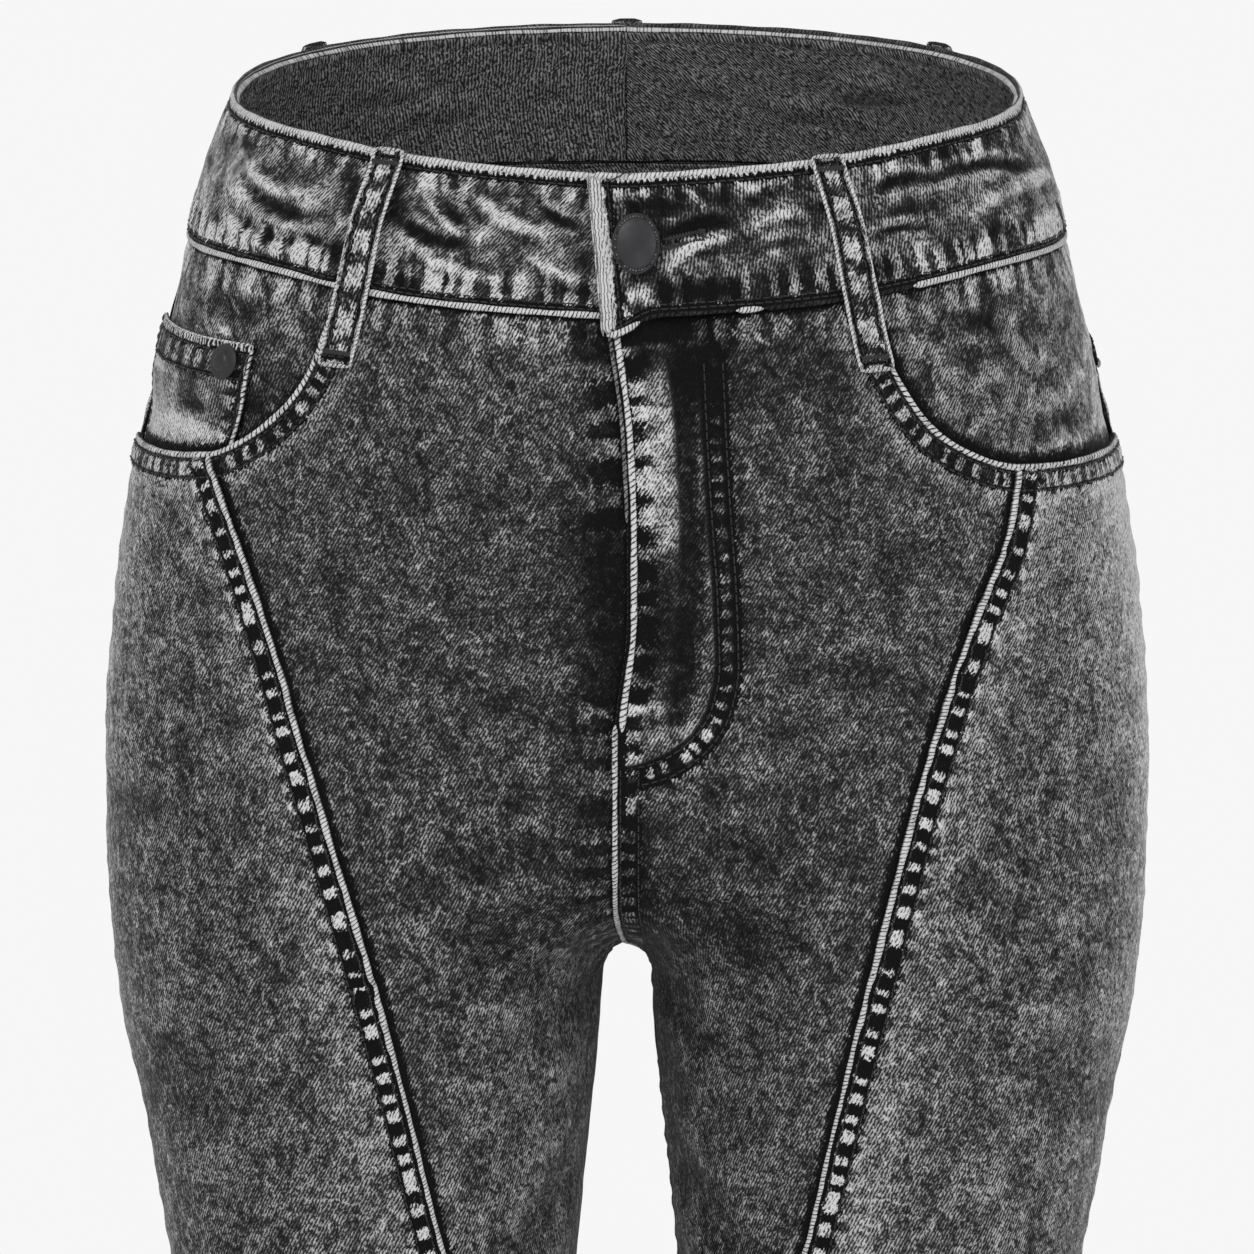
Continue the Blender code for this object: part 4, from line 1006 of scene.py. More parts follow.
def waves(value):
    return calc("SINE", value * FULL_TURN)


def bump(height, distance, strength=1.0):
    return node(height.tree, "Bump", {"Height": height, "Distance": distance, "Strength": strength})[0]


def group(name, inputs, outputs):
    """An empty node group, what it is given and where its results go. Inputs are (kind, name, default)."""
    tree = bpy.data.node_groups.new(name, "ShaderNodeTree")
    for kind, label, default in inputs:
        socket = tree.interface.new_socket(label, in_out="INPUT", socket_type="NodeSocket" + kind)
        if default is not None:
            socket.default_value = default
    for kind, label in outputs:
        tree.interface.new_socket(label, in_out="OUTPUT", socket_type="NodeSocket" + kind)
    given = {socket.name: Value(socket) for socket in tree.nodes.new("NodeGroupInput").outputs}
    return tree, given, tree.nodes.new("NodeGroupOutput")


def use_group(tree, shared, values):
    """The results of a shared effect placed in a material."""
    made = tree.nodes.new("ShaderNodeGroup")
    made.node_tree = shared
    fill(tree, made, values)
    return {socket.name: Value(socket) for socket in made.outputs}


def bleached(level):
    """The colour at a level from 0, unwashed, to 1, fully washed."""
    wash = bpy.context.scene.jeans_wash
    level = calc("MINIMUM", calc("MAXIMUM", level, 0.0), 1.0)
    return scaled((1.012, 0.996, 1.0), calc("POWER", wash.pale / wash.dark, level) * wash.dark)


@cache
def seam_wear():
    """A band beside a seam, used both for wear and for painted shadow, and the patches and gaps of uneven
    size that puckers leave in it.
    """
    labels = "Start End Soft Pitch Share Begin Finish".split()
    inputs = [("Vector", "Seam", None), ("Float", "Ragged", 0.0)]
    inputs += [("Float", label, 0.001) for label in labels]
    outputs = [("Float", "Patch"), ("Float", "Gap"), ("Float", "Band")]
    tree, given, result = group("seam_wear", inputs, outputs)
    start, end, soft, pitch, share, begin, finish = (given[label] for label in labels)
    run, away, there = parts(given["Seam"])
    away = away + given["Ragged"]
    band = there * smooth(away, start - soft, start) * smooth(away, end, end + soft, 1.0, 0.0)
    band = band * smooth(run, begin - 0.003, begin) * smooth(run, finish, finish + 0.004, 1.0, 0.0)
    turns = run / pitch
    beat_at = node(tree, "CombineXYZ", {0: turns * 0.71, 1: start * 900.0})[0]
    beat = centred(noise(beat_at, 0.0), 4.4)
    wave = waves(turns + beat * 0.16) + given["Ragged"] * 700.0 + beat * 0.32
    edge = 1.0 - share
    patch_share = smooth(wave, edge - 0.5, edge + 0.5)
    patch = band * patch_share * smooth(beat, -1.0, 1.0, 0.70, 1.25)
    fill(tree, result, {"Patch": patch, "Gap": band * (1.0 - patch_share), "Band": band})
    return tree


@cache
def twill_lines():
    """The twill's raised threads as broken slanting strokes, and the wash's fine and coarse unevenness."""
    outputs = [("Float", "Stroke"), ("Float", "Mottle"), ("Float", "Marble")]
    tree, given, result = group("twill_lines", [("Vector", "Cloth", None)], outputs)
    cloth = given["Cloth"]
    slope = math.radians(TWILL_ANGLE)
    grain = noise(stretched(cloth, 0.00056, 0.00125, slope), 1.0, 0.5, 0.1)
    mottle = noise(stretched(cloth, 0.0022, 0.0027), 2.0, 0.6, 0.6)
    marble = noise(stretched(cloth, 0.0090, 0.0105), 2.0, 0.6, 0.5)
    across = parts(stretched(cloth, bpy.context.scene.jeans_wash.twill, 1.0, slope))[0]
    stroke = waves(across + centred(mottle, 0.9)) * 0.58 + centred(grain, 3.5)
    fill(tree, result, {"Stroke": stroke, "Mottle": centred(mottle, 1.0), "Marble": centred(marble, 1.0)})
    return tree


@cache
def washed_cloth():
    """Cloth whose raised threads the wash has bleached: more and wider pale strokes where it is higher."""
    inputs = [("Float", label, 0.0) for label in ("Stroke", "Mottle", "Marble")] + [("Float", "Wash", 0.4)]
    tree, given, result = group("washed_cloth", inputs, [("Color", "Color"), ("Float", "Level")])
    amount = given["Wash"] + (given["Mottle"] * 0.85 + given["Marble"])
    amount = calc("SMOOTH_MIN", calc("SMOOTH_MAX", amount, 0.0, 0.12), 1.0, 0.12)
    edge = amount * -1.30 + 0.84
    stroke = smooth(given["Stroke"], edge - 0.42, edge + 0.42)
    soaked = smooth(amount, 0.60, 1.0, 0.0, 0.14)
    rise = smooth(amount, 0.0, 0.70, 0.15, 0.50) - soaked * 1.3
    level = amount * 0.57 + soaked + stroke * rise
    fill(tree, result, {"Color": bleached(level), "Level": level})
    return tree


@cache
def rope_twill():
    """The worn twill of a folded edge: pale slanting strands with thin dark notches between them."""
    inputs = [("Vector", "Roll", None)]
    inputs += [("Float", label, 1.0) for label in ("Strand", "Wear", "Notch", "Lines")]
    tree, given, result = group("folded_rope", inputs, [("Color", "Color"), ("Float", "Height")])
    roll = given["Roll"]
    run, turn, _ = parts(roll)
    wander = noise(stretched(roll, 0.0021, 0.8), 2.0, 0.6)
    fine = noise(stretched(roll, 0.00050, 0.22), 1.5, 0.6)
    patches = noise(stretched(roll, 0.010, 9.0), 2.0, 0.6)
    wave = waves(run / given["Strand"] + turn * given["Lines"] + centred(wander, 1.1))
    notch = smooth(wave, -0.98, -0.45, -1.0, 0.0)
    shade = smooth(calc("ABSOLUTE", turn - 0.5), 0.10, 0.27, 0.0, -0.55)
    level = given["Wear"] + shade + centred(patches, 0.5) + centred(fine, 0.6) + notch * given["Notch"]
    fill(tree, result, {"Color": bleached(level), "Height": wave})
    return tree


def new_material(name):
    """A material with only its shader, its tree and the shader."""
    made = bpy.data.materials.new(name)
    made.use_nodes = True
    return made, made.node_tree, made.node_tree.nodes["Principled BSDF"]


def flat_map(tree, name):
    return node(tree, "UVMap", uv_map=name)["UV"]


def seam_measure(tree, name, output):
    return node(tree, "Attribute", attribute_name=name)[output]


@cache
def denim(kind):
    """The cloth of one kind of panel, worn beside its own seams and darkened with painted shadow beside some
    of them.
    """
    made, tree, shader = new_material(kind + "_denim")
    lines = use_group(tree, twill_lines(), {"Cloth": flat_map(tree, "cloth")})
    ragged = lines["Stroke"] * 0.00042 + lines["Mottle"] * 0.0022
    # The wear attribute and the seam bands below both hold painted shadow as well as the wash.
    wash = seam_measure(tree, "wear", "Fac") + KINDS[kind].wash
    for seam, rows in SEAM_WEAR_AND_SHADE[kind].items():
        measure = seam_measure(tree, seam, "Vector")
        for row in in_metres(Wear, "start end soft pitch begin finish", rows):
            names = ("start", "end", "soft", "share", "begin", "finish")
            values = {name.title(): getattr(row, name) for name in names}
            values |= {"Seam": measure, "Ragged": ragged, "Pitch": row.pitch or 1.0}
            found = use_group(tree, seam_wear(), values)
            if row.pitch:
                wash = wash + found["Patch"] * row.patch + found["Gap"] * -row.gap
            else:
                wash = wash + found["Band"] * row.patch
    values = {
        "Stroke": lines["Stroke"],
        "Mottle": lines["Mottle"] * KINDS[kind].mottling,
        "Marble": lines["Marble"] * KINDS[kind].marbling,
        "Wash": wash,
    }
    washed = use_group(tree, washed_cloth(), values)
    looks = {
        "Base Color": washed["Color"],
        "Normal": bump(lines["Stroke"], THREAD_RELIEF, 0.8),
        "Roughness": smooth(washed["Level"], 0.0, 1.0, 0.80, 0.97),
        "Sheen Weight": 0.14,
        "Sheen Roughness": 0.30,
        "Specular IOR Level": CLOTH_GLOSS,
    }
    fill(tree, shader, looks)
    return made


@cache
def inside_denim():
    """The cloth's inner face, where more of the undyed weft shows."""
    made, tree, shader = new_material("inside_denim")
    lines = use_group(tree, twill_lines(), {"Cloth": flat_map(tree, "cloth")})
    values = {"Stroke": lines["Stroke"], "Mottle": lines["Mottle"] * 0.5, "Wash": 0.60}
    looks = {
        "Base Color": use_group(tree, washed_cloth(), values)["Color"],
        "Normal": bump(lines["Stroke"], THREAD_RELIEF, 0.8),
        "Roughness": 0.92,
        "Specular IOR Level": CLOTH_GLOSS,
    }
    fill(tree, shader, looks)
    return made


def folded_rope(name, strand, wear, notch, lines=2.0):
    made, tree, shader = new_material(name)
    values = {"Roll": flat_map(tree, "roll"), "Strand": strand, "Wear": wear, "Notch": notch, "Lines": lines}
    rope = use_group(tree, rope_twill(), values)
    looks = {
        "Base Color": rope["Color"],
        "Normal": bump(rope["Height"], 0.00012, 0.8),
        "Roughness": 0.9,
        "Specular IOR Level": CLOTH_GLOSS,
    }
    fill(tree, shader, looks)
    return made


@cache
def sewing_thread():
    """Black thread, two twisted plies to a stitch, faded unevenly along its length."""
    made, tree, shader = new_material("sewing_thread")
    roll = flat_map(tree, "roll")
    run, turn, _ = parts(roll)
    wave = waves(run / 0.0008 + turn * 2.0)
    faded = smooth(noise(stretched(roll, 0.012, 4.0)), 0.35, 0.75, 0.6, 2.6)
    colour = tuple(bpy.context.scene.jeans_wash.thread)
    looks = {
        "Base Color": scaled(colour, faded + wave * 0.3),
        "Normal": bump(wave, THREAD_RELIEF),
        "Roughness": 0.6,
        "Sheen Weight": 0.2,
    }
    fill(tree, shader, looks)
    return made


def specks(tree, scale, detail):
    """A fine pattern all through a metal piece."""
    sockets = {"Vector": node(tree, "TexCoord")["Object"], "Scale": scale, "Detail": detail}
    return node(tree, "TexNoise", sockets)["Fac"]


@cache
def painted_metal():
    """The matt dark paint of the button and the rivet, rubbed a little paler in uneven patches."""
    made, tree, shader = new_material("painted_metal")
    grain, worn = specks(tree, 900.0, 3.0), specks(tree, 260.0, 2.0)
    colour = tuple(bpy.context.scene.jeans_wash.metal)
    looks = {
        "Base Color": scaled(colour, smooth(worn, 0.30, 0.75, 0.85, 1.2)),
        "Roughness": smooth(grain, 0.3, 0.7, 0.36, 0.50),
        "Normal": bump(grain, 0.00005, 0.4),
        "Metallic": 0.3,
    }
    fill(tree, shader, looks)
    return made


def rubbed_metal():
    """The button's ring of beads, where the paint has rubbed through."""
    made, tree, shader = new_material("rubbed_metal")
    strength = smooth(specks(tree, 500.0, 2.0), 0.42, 0.62, 0.10, 1.6)
    colour = scaled((0.11, 0.11, 0.115), strength)
    fill(tree, shader, {"Base Color": colour, "Roughness": 0.4, "Metallic": 0.3})
    return made


@cache
def zip_metal():
    """The bare metal of the zip's teeth and slider."""
    made, tree, shader = new_material("zip_metal")
    grain = specks(tree, 700.0, 3.0)
    looks = {
        "Base Color": scaled((0.42, 0.40, 0.37), smooth(grain, 0.3, 0.7, 0.6, 1.1)),
        "Roughness": smooth(grain, 0.3, 0.7, 0.28, 0.45),
        "Metallic": 1.0,
    }
    fill(tree, shader, looks)
    return made


@cache
def zip_tape_cloth():
    """The zip's close black herringbone tape."""
    made, tree, shader = new_material("zip_tape_cloth")
    over, up, _ = parts(flat_map(tree, "cloth"))
    wave = waves((up + calc("PINGPONG", over, 0.0012)) / 0.0007)
    looks = {
        "Base Color": scaled((0.020, 0.020, 0.021), smooth(wave, -1.0, 1.0, 0.5, 1.6)),
        "Normal": bump(wave, THREAD_RELIEF),
        "Roughness": 0.85,
        "Specular IOR Level": CLOTH_GLOSS,
    }
    fill(tree, shader, looks)
    return made


def floor_material():
    made, tree, shader = new_material("studio_floor")
    fill(tree, shader, {"Base Color": (*bpy.context.scene.jeans_stage.floor, 1), "Roughness": 0.85})
    return made


# ---- Lines and sheets on the form ----

Line = namedtuple("Line", "points normals run")
BLOCK = 4000  # how many points are measured at once


def unit(vectors):
    return vectors / np.maximum(np.linalg.norm(vectors, axis=-1, keepdims=True), 1e-12)


def outward(heights, arounds):
    """The directions out of the form at its places."""
    return unit(place(heights, arounds, 1.0) - place(heights, arounds, 0.0))


def line_through(points, normals):
    return Line(points, normals, run_along(points))


def even_run(run):
    """Lengths about a millimetre apart along a line."""
    return np.linspace(0, run[-1], max(8, round(run[-1] / LINE_STEP)))


def between(at, run, values):
    """The values at other lengths along their line."""
    return np.column_stack([np.interp(at, run, values[:, k]) for k in range(3)])


def seam_line(heights, arounds):
    """A line on the form with a point about every millimetre."""
    heights, arounds = edge(heights, arounds)
    run = run_along(place(heights, arounds))
    at = even_run(run)
    heights, arounds = np.interp(at, run, heights), np.interp(at, run, arounds)
    return line_through(place(heights, arounds), outward(heights, arounds))


def directions(line):
    """Unit vectors along a line, and beside it over the cloth."""
    along = unit(np.gradient(line.points, axis=0))
    return along, unit(np.cross(line.normals, along))


def beside(line, distance):
    """The line moved sideways over the cloth."""
    return line_through(line.points + distance * directions(line)[1], line.normals)


def raised(line, height):
    """The line moved out of the cloth, or into it."""
    return line._replace(points=line.points + height * line.normals)


def wander(run):
    """Unevenness of the puckers, as a length to add to the run."""
    return 0.0011 * np.sin(61 * run) + 0.0009 * np.sin(143 * run + 1) + 0.0006 * np.sin(397 * run + 2)


def measure(points, line, two_sided=False):
    """(run, distance beside, 1) of each point for a line. The run is uneven, so that puckers are."""
    flat = points.reshape(-1, 3)
    along, across = directions(line)
    nearest = np.empty(len(flat), int)
    squares = (line.points**2).sum(1)
    for start in range(0, len(flat), BLOCK):
        block = flat[start : start + BLOCK]
        nearest[start : start + BLOCK] = (squares - 2 * block @ line.points.T).argmin(1)
    way = flat - line.points[nearest]
    forward = (way * along[nearest]).sum(1).clip(-1.5 * LINE_STEP, 1.5 * LINE_STEP)
    sideways = np.linalg.norm(way - forward[:, None] * along[nearest], axis=1)
    if two_sided:
        sideways *= np.sign((way * across[nearest]).sum(1))
    run = line.run[nearest] + forward
    return np.column_stack([run + wander(run), sideways, np.ones(len(flat))]).reshape(*points.shape[:-1], 3)


def window(values, start, end, soft=0.0015):
    return smoothstep((values - start) / soft + 0.5) * (1 - smoothstep((values - end) / soft + 0.5))


def seam_relief(kind, fields):
    """How far the seams near a sheet raise or sink it."""
    height = 0.0
    for seam, rows in RELIEFS[kind].items():
        if seam not in fields:
            continue
        run, away, _ = np.moveaxis(fields[seam], -1, 0)
        for row in in_metres(Relief, "start end height pitch begin finish", rows):
            if row.kind == "raise":
                shape = 1 - smoothstep((away - row.start) / (row.end - row.start))
            elif row.kind == "groove":
                shape = -np.exp(-(((away - row.start) / row.end) ** 2))
            else:
                shape = np.sin(FULL_TURN * run / row.pitch) * window(away, row.start, row.end)
            height = height + row.height * shape * window(run, row.begin, row.finish, 0.004)
    return height


def with_sides(kind, lengths, table):
    """A table's rows, each with the side that it is on."""
    return [(side, row) for side, rows in table.items() for row in in_metres(kind, lengths, rows)]


def on_side(side, arounds):
    """1 where a place is on the side, else 0."""
    return np.ones(arounds.shape) if side == BOTH else (np.where(arounds < 0, RIGHT, LEFT) == side) * 1.0


CREASE_BOW = 0.10  # how far a crease bends sideways, as a part of its length
CREASE_START, CREASE_FADE = 0.30, 0.38  # the parts of its length over which it begins and ends
RIDGE = 0.42  # the height of the ridges beside a trough, as a part of its depth
RIDGE_AWAY, RIDGE_WIDTH = 1.75, 0.75  # as parts of the trough's width


def crease_relief(creases, heights, arounds):
    """Soft troughs with a low ridge on each side, fading out at their ends."""
    relief = np.zeros(heights.shape)
    for side, crease in with_sides(Crease, "height end_height width depth", creases):
        round_here = half_round(crease.height)
        start = np.array([crease.height, crease.around * round_here])
        way = np.array([crease.end_height, crease.end_around * round_here]) - start
        length = np.hypot(*way)
        off = np.stack([heights, np.abs(arounds) * round_here], axis=-1) - start
        along = (off @ way) / length**2
        bow = CREASE_BOW * length * (1 - (2 * along - 1) ** 2)
        across = (off[..., 0] * way[1] - off[..., 1] * way[0]) / length - bow
        ends = smoothstep(along / CREASE_START) * smoothstep((1 - along) / CREASE_FADE)
        ratio = across / crease.width
        trough = np.exp(-(ratio**2)) - RIDGE * np.exp(-(((np.abs(ratio) - RIDGE_AWAY) / RIDGE_WIDTH) ** 2))
        relief -= crease.depth * trough * ends * on_side(side, arounds)
    return relief


def lumps(points, size, seed):
    """Low uneven swellings in a sheet, from a few crossing waves."""
    draw = np.random.default_rng(seed)
    ways = unit(draw.normal(size=(9, 3))) * (FULL_TURN / (size * draw.uniform(0.7, 1.6, (9, 1))))
    shifts = draw.uniform(0, FULL_TURN, 9)
    return np.sin(points @ ways.T + shifts).mean(axis=-1) * 1.6


def wrinkles(flat, size, longer, lean, seed):
    """Uneven soft wrinkles from 1 down to -1 that run one way over the cloth. Lean is the way's steepness."""
    along = flat @ np.array([math.cos(lean), math.sin(lean)]) / longer
    across = flat @ np.array([-math.sin(lean), math.cos(lean)])
    return np.clip(lumps(np.stack([along, across, 0.3 * along], axis=-1), size, seed), -1, 1)


def blotch_wash_and_shade(heights, arounds):
    wash = np.zeros(heights.shape)
    for side, blotch in with_sides(Blotch, "height tall wide", WASH_AND_SHADE_BLOTCHES):
        reach = half_round(blotch.height)
        far = ((heights - blotch.height) / blotch.tall) ** 2
        far += ((np.abs(arounds) - blotch.around) * reach / blotch.wide) ** 2
        wash += blotch.wash * np.exp(-far) * on_side(side, arounds)
    return wash


def crowded(width, widest=WIDEST_COLUMN):
    """Parts of the way over a width, close together at both of its edges."""
    steps = [FIRST_COLUMN]
    while sum(steps) < width / 2:
        steps.append(min(steps[-1] * COLUMN_GROWTH, widest))
    half = np.concatenate([[0], np.cumsum(steps)]) / sum(steps) / 2
    return np.concatenate([half, 1 - half[-2::-1]])


def rows_down(top, bottom, step=FINE_ROW):
    return np.linspace(top, bottom, max(2, round(abs(top - bottom) / step) + 1))


COMMON_ROWS = np.concatenate([rows_down(COMMON_TOP, FINE_END), rows_down(FINE_END, HEM, COARSE_ROW)[1:]])


def runs_across(points):
    """How far along its row each point of a sheet lies."""
    steps = np.linalg.norm(np.diff(points, axis=1), axis=2)
    return np.concatenate([np.zeros((len(steps), 1)), np.cumsum(steps, axis=1)], axis=1)


def grain_runs():
    """How far round the form each place, and the grain line of each leg's front, back and band, lies."""
    run = runs_across(FORM_POINTS)
    side = FORM_STEPS - 1
    across = FORM_POINTS[..., 0]
    front = [np.interp(GRAIN_ACROSS, a[: side + 1], r[: side + 1]) for a, r in zip(across, run)]
    back = [np.interp(GRAIN_ACROSS, a[side:][::-1], r[side:][::-1]) for a, r in zip(across, run)]
    return {"round": run, "front": np.array(front), "back": np.array(back), "band": run[:, side]}


GRAIN_RUNS = grain_runs()


def flat_places(heights, arounds, part):
    """Each point's flat place on the cloth: how far it lies beside the grain line, and its height."""
    turn = 1 if arounds.mean() > 0 else -1
    around = arounds * turn
    whole = GRAIN_RUNS["round"][..., None]

    def run_at(way):
        return sample(whole, heights, np.clip(way, 0, 1))[..., 0]

    run = run_at(around) - run_at(-around) + run_at(1.0 + 0 * around) - run_at(2 - around)
    line = np.interp(-heights, -FORM_HEIGHTS, GRAIN_RUNS[part])
    return np.stack([turn * (run - line), heights], axis=-1)


def cut_size(points):
    """The width, length and area of the flat cloth that a sheet is cut from."""
    widths = np.linalg.norm(np.diff(points, axis=1), axis=2).sum(1)
    lengths = np.linalg.norm(np.diff(points, axis=0), axis=2).sum(0)
    over, down = np.diff(points, axis=1)[:-1], np.diff(points, axis=0)[:, :-1]
    area = np.linalg.norm(np.cross(over, down), axis=2).sum()
    return float(widths.max()), float(lengths.max()), float(area)


def grid_faces(rows, columns):
    index = np.arange(rows * columns).reshape(rows, columns)
    corners = (index[:-1, :-1], index[1:, :-1], index[1:, 1:], index[:-1, 1:])
    return np.stack(corners, axis=-1).reshape(-1, 4)


def add_mesh(name, points, faces):
    mesh = bpy.data.meshes.new(name)
    mesh.from_pydata(points.reshape(-1, 3).tolist(), [], faces.tolist())
    mesh.shade_smooth()
    made = bpy.data.objects.new(name, mesh)
    bpy.context.scene.collection.objects.link(made)
    return made


def set_uvs(mesh, name, places):
    corners = np.empty(len(mesh.loops), np.int32)
    mesh.loops.foreach_get("vertex_index", corners)
    layer = mesh.uv_layers.new(name=name)
    layer.uv.foreach_set("vector", places.reshape(-1, 2)[corners].astype(np.float32).ravel())


def make_active(piece):
    bpy.ops.object.select_all(action="DESELECT")
    piece.select_set(True)
    bpy.context.view_layer.objects.active = piece


def finish_sheet(piece, thickness, offset, sizes, slot):
    """Gives a sheet its wall and hangs it from its body. Its slot is not used."""
    wall = piece.modifiers.new("wall", "SOLIDIFY")
    wall.thickness = thickness
    wall.offset = offset
    wall.material_offset = len(piece.data.materials) - 1
    make_active(piece)
    bpy.ops.object.modifier_apply(modifier=wall.name)
    width, length, area = sizes
    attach(piece, BODY)
    min(area, width * length)


def lay_cloth(kind, name, places, seams, lift=0.0, thickness=None, creases=CREASES):
    """One sheet of cloth laid on the form in its solid's place, with its seams, creases, wear and painted
    shade.
    """
    cloth = bpy.context.scene.jeans_cloth
    heights, arounds = places
    lift = np.broadcast_to(lift, heights.shape)
    smooth_points = place(heights, arounds, lift)
    fields = {seam: measure(smooth_points, line, seam == "j_stitch") for seam, line in seams.items()}
    folds = crease_relief(creases, heights, arounds)
    flat = flat_places(heights, arounds, KINDS[kind].grain)
    (broad, broad_height), (fine, fine_height) = BROAD_SWELL, FINE_SWELL
    swell = broad_height * lumps(smooth_points, broad, len(name))
    swell = swell + fine_height * lumps(smooth_points, fine, FINE_SEED)
    if kind in WRINKLES:
        row = WRINKLES[kind]
        lean = math.copysign(row.lean, arounds.mean())
        folds = folds + row.depth * wrinkles(flat, row.size, row.longer, lean, row.seed)
    relief = cloth.relief * (seam_relief(kind, fields) + folds + swell)
    points = place(heights, arounds, lift + relief)
    faces = grid_faces(*heights.shape)
    row, column = heights.shape[0] // 2, heights.shape[1] // 2
    over = points[row, column + 1] - points[row, column]
    down = points[row + 1, column] - points[row, column]
    if np.dot(np.cross(down, over), outward(heights[row, column], arounds[row, column])) < 0:
        faces = faces[:, ::-1]
    piece = add_mesh(name + "_cloth", points, faces)
    set_uvs(piece.data, "cloth", flat)
    paler = KINDS[kind].crease_wash * folds + SWELL_WASH * swell
    # The wear holds the wash's blotches, some of them painted shadow and painted light, and the wash's paler
    # swells and darker creases.
    wear = blotch_wash_and_shade(heights, arounds) + cloth.relief * paler
    piece.data.attributes.new("wear", "FLOAT", "POINT").data.foreach_set("value", wear.ravel())
    for seam, field in fields.items():
        attribute = piece.data.attributes.new(seam, "FLOAT_VECTOR", "POINT")
        attribute.data.foreach_set("vector", field.ravel())
    piece.data.materials.append(denim(kind))
    piece.data.materials.append(inside_denim())
    finish_sheet(piece, thickness or cloth.cloth, -1, cut_size(smooth_points), KINDS[kind].slot)
    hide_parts(name)


# ---- The seams ----


def waist_seam(side):
    arounds = np.linspace(0, side, 400)
    return seam_line(waist("seam", arounds), arounds)


def mouth_seam(side):
    return seam_line(*mouth_curve(side, np.linspace(0, 1, 200)))


def slant_seam(side):
    heights = np.linspace(mouth_curve(side, np.array([mouth_corner(side)]))[0][0], SLANT_TIP, 200)
    return seam_line(heights, slant_around(side, heights))


def centre_seam():
    heights = np.linspace(WAIST[0].seam, CROTCH, 150)
    return seam_line(heights, around_at(heights, centre_across(heights)))


def j_stitch():
    at = np.linspace(0, len(J_STITCH) - 1, 160)
    heights, across = (monotone(np.arange(len(J_STITCH)), values, at) for values in zip(*J_STITCH))
    return seam_line(heights, around_at(heights, across))


def yoke_line(side):
    arounds = np.linspace(0.5, 1, 120)
    return seam_line(yoke_seam(arounds), arounds * side)


def rise_seam(side):
    heights = np.linspace(WAIST[-1].seam, CROTCH, 120)
    return seam_line(heights, 1.0 * side)


def side_seam(side):
    return seam_line(np.linspace(waist("seam", 0.5), HEM, 400), 0.5 * side)


def inseam(side):
    return seam_line(np.linspace(CROTCH, HEM, 400), INSEAM * side)


# ---- The panels ----


def front_centre_places(side):
    """The middle panel of a front, from the waistband to the tip of the slanting seam."""
    corner = mouth_corner(side)
    upper_count = 46
    mouth_heights, mouth_arounds = mouth_curve(side, np.linspace(0, corner, upper_count))
    upper = np.linspace(WAIST[0].seam, mouth_heights[-1], upper_count)
    middle = rows_down(mouth_heights[-1], COMMON_TOP)[1:-1]
    blunt_end = SLANT_TIP + SLANT_BLUNT
    lower = np.append(COMMON_ROWS[COMMON_ROWS > blunt_end + COARSE_ROW / 2], blunt_end)
    left_heights = np.concatenate([upper, middle, lower])
    right_heights = np.concatenate([mouth_heights, middle, lower])
    right_arounds = np.concatenate([mouth_arounds, slant_around(side, np.concatenate([middle, lower]))])
    left_arounds = centre_edge_arounds(left_heights, side)
    left_heights[0], right_heights[0] = waist("seam", left_arounds[0]), waist("seam", right_arounds[0])
    over = crowded(0.100, 0.0036)
    top_arounds = (1 - over) * left_arounds[0] + over * right_arounds[0]
    bottom_arounds = (1 - over) * left_arounds[-1] + over * right_arounds[-1]
    return patch(
        edge(waist("seam", top_arounds), top_arounds),
        edge(left_heights[-1], bottom_arounds),
        (left_heights, left_arounds),
        (right_heights, right_arounds),
        over,
    )


def fly_lift(places):
    """The fly's layers raise the wearer's left front beside its folded edge."""
    run = runs_across(place(*places))
    fade = 1 - smoothstep((FLY_BOTTOM - places[0]) / FLY_FADE)
    return FLY_RAISE * fade * (1 - smoothstep((run - FLY_FLAT) / FLY_RAMP))


def front_side_places(side):
    """The outer panel of a front, from the pocket mouth to the hem. Under the knee it is the whole front."""
    over = crowded(0.200)
    top = mouth_curve(side, mouth_corner(side) + (1 - mouth_corner(side)) * over)
    upper = rows_down(0, 1, FINE_ROW / abs(COMMON_TOP - top[0][-1]))[:-1]
    inner_heights = np.concatenate([top[0][0] + (COMMON_TOP - top[0][0]) * upper, COMMON_ROWS])
    outer_heights = np.concatenate([top[0][-1] + (COMMON_TOP - top[0][-1]) * upper, COMMON_ROWS])
    inner_arounds = slant_around(side, inner_heights)
    inner_arounds[0] = top[1][0]
    bottom = edge(HEM, INSEAM * side + (0.5 * side - INSEAM * side) * over)
    return patch(top, bottom, (inner_heights, inner_arounds), edge(outer_heights, 0.5 * side), over)


def back_leg_places(side):
    """The whole back of a leg, from the yoke to the hem."""
    over = crowded(0.230)
    arounds = 0.5 + 0.5 * over
    upper = rows_down(0, 1, FINE_ROW / abs(COMMON_TOP - YOKE_AT_SIDE))[:-1]
    side_heights = np.concatenate([YOKE_AT_SIDE + (COMMON_TOP - YOKE_AT_SIDE) * upper, COMMON_ROWS])
    centre_heights = np.concatenate([YOKE_AT_BACK + (COMMON_TOP - YOKE_AT_BACK) * upper, COMMON_ROWS])
    top = edge(yoke_seam(arounds), arounds * side)
    bottom = edge(HEM, arounds * side)
    return patch(top, bottom, edge(side_heights, 0.5 * side), edge(centre_heights, 1.0 * side), over)


def back_yoke_places(side):
    arounds = 0.5 + 0.5 * crowded(0.200, 0.003)
    down = crowded(0.055, 0.0016)[:, None]
    heights = (1 - down) * waist("seam", arounds) + down * yoke_seam(arounds)
    return edge(heights, arounds * side)


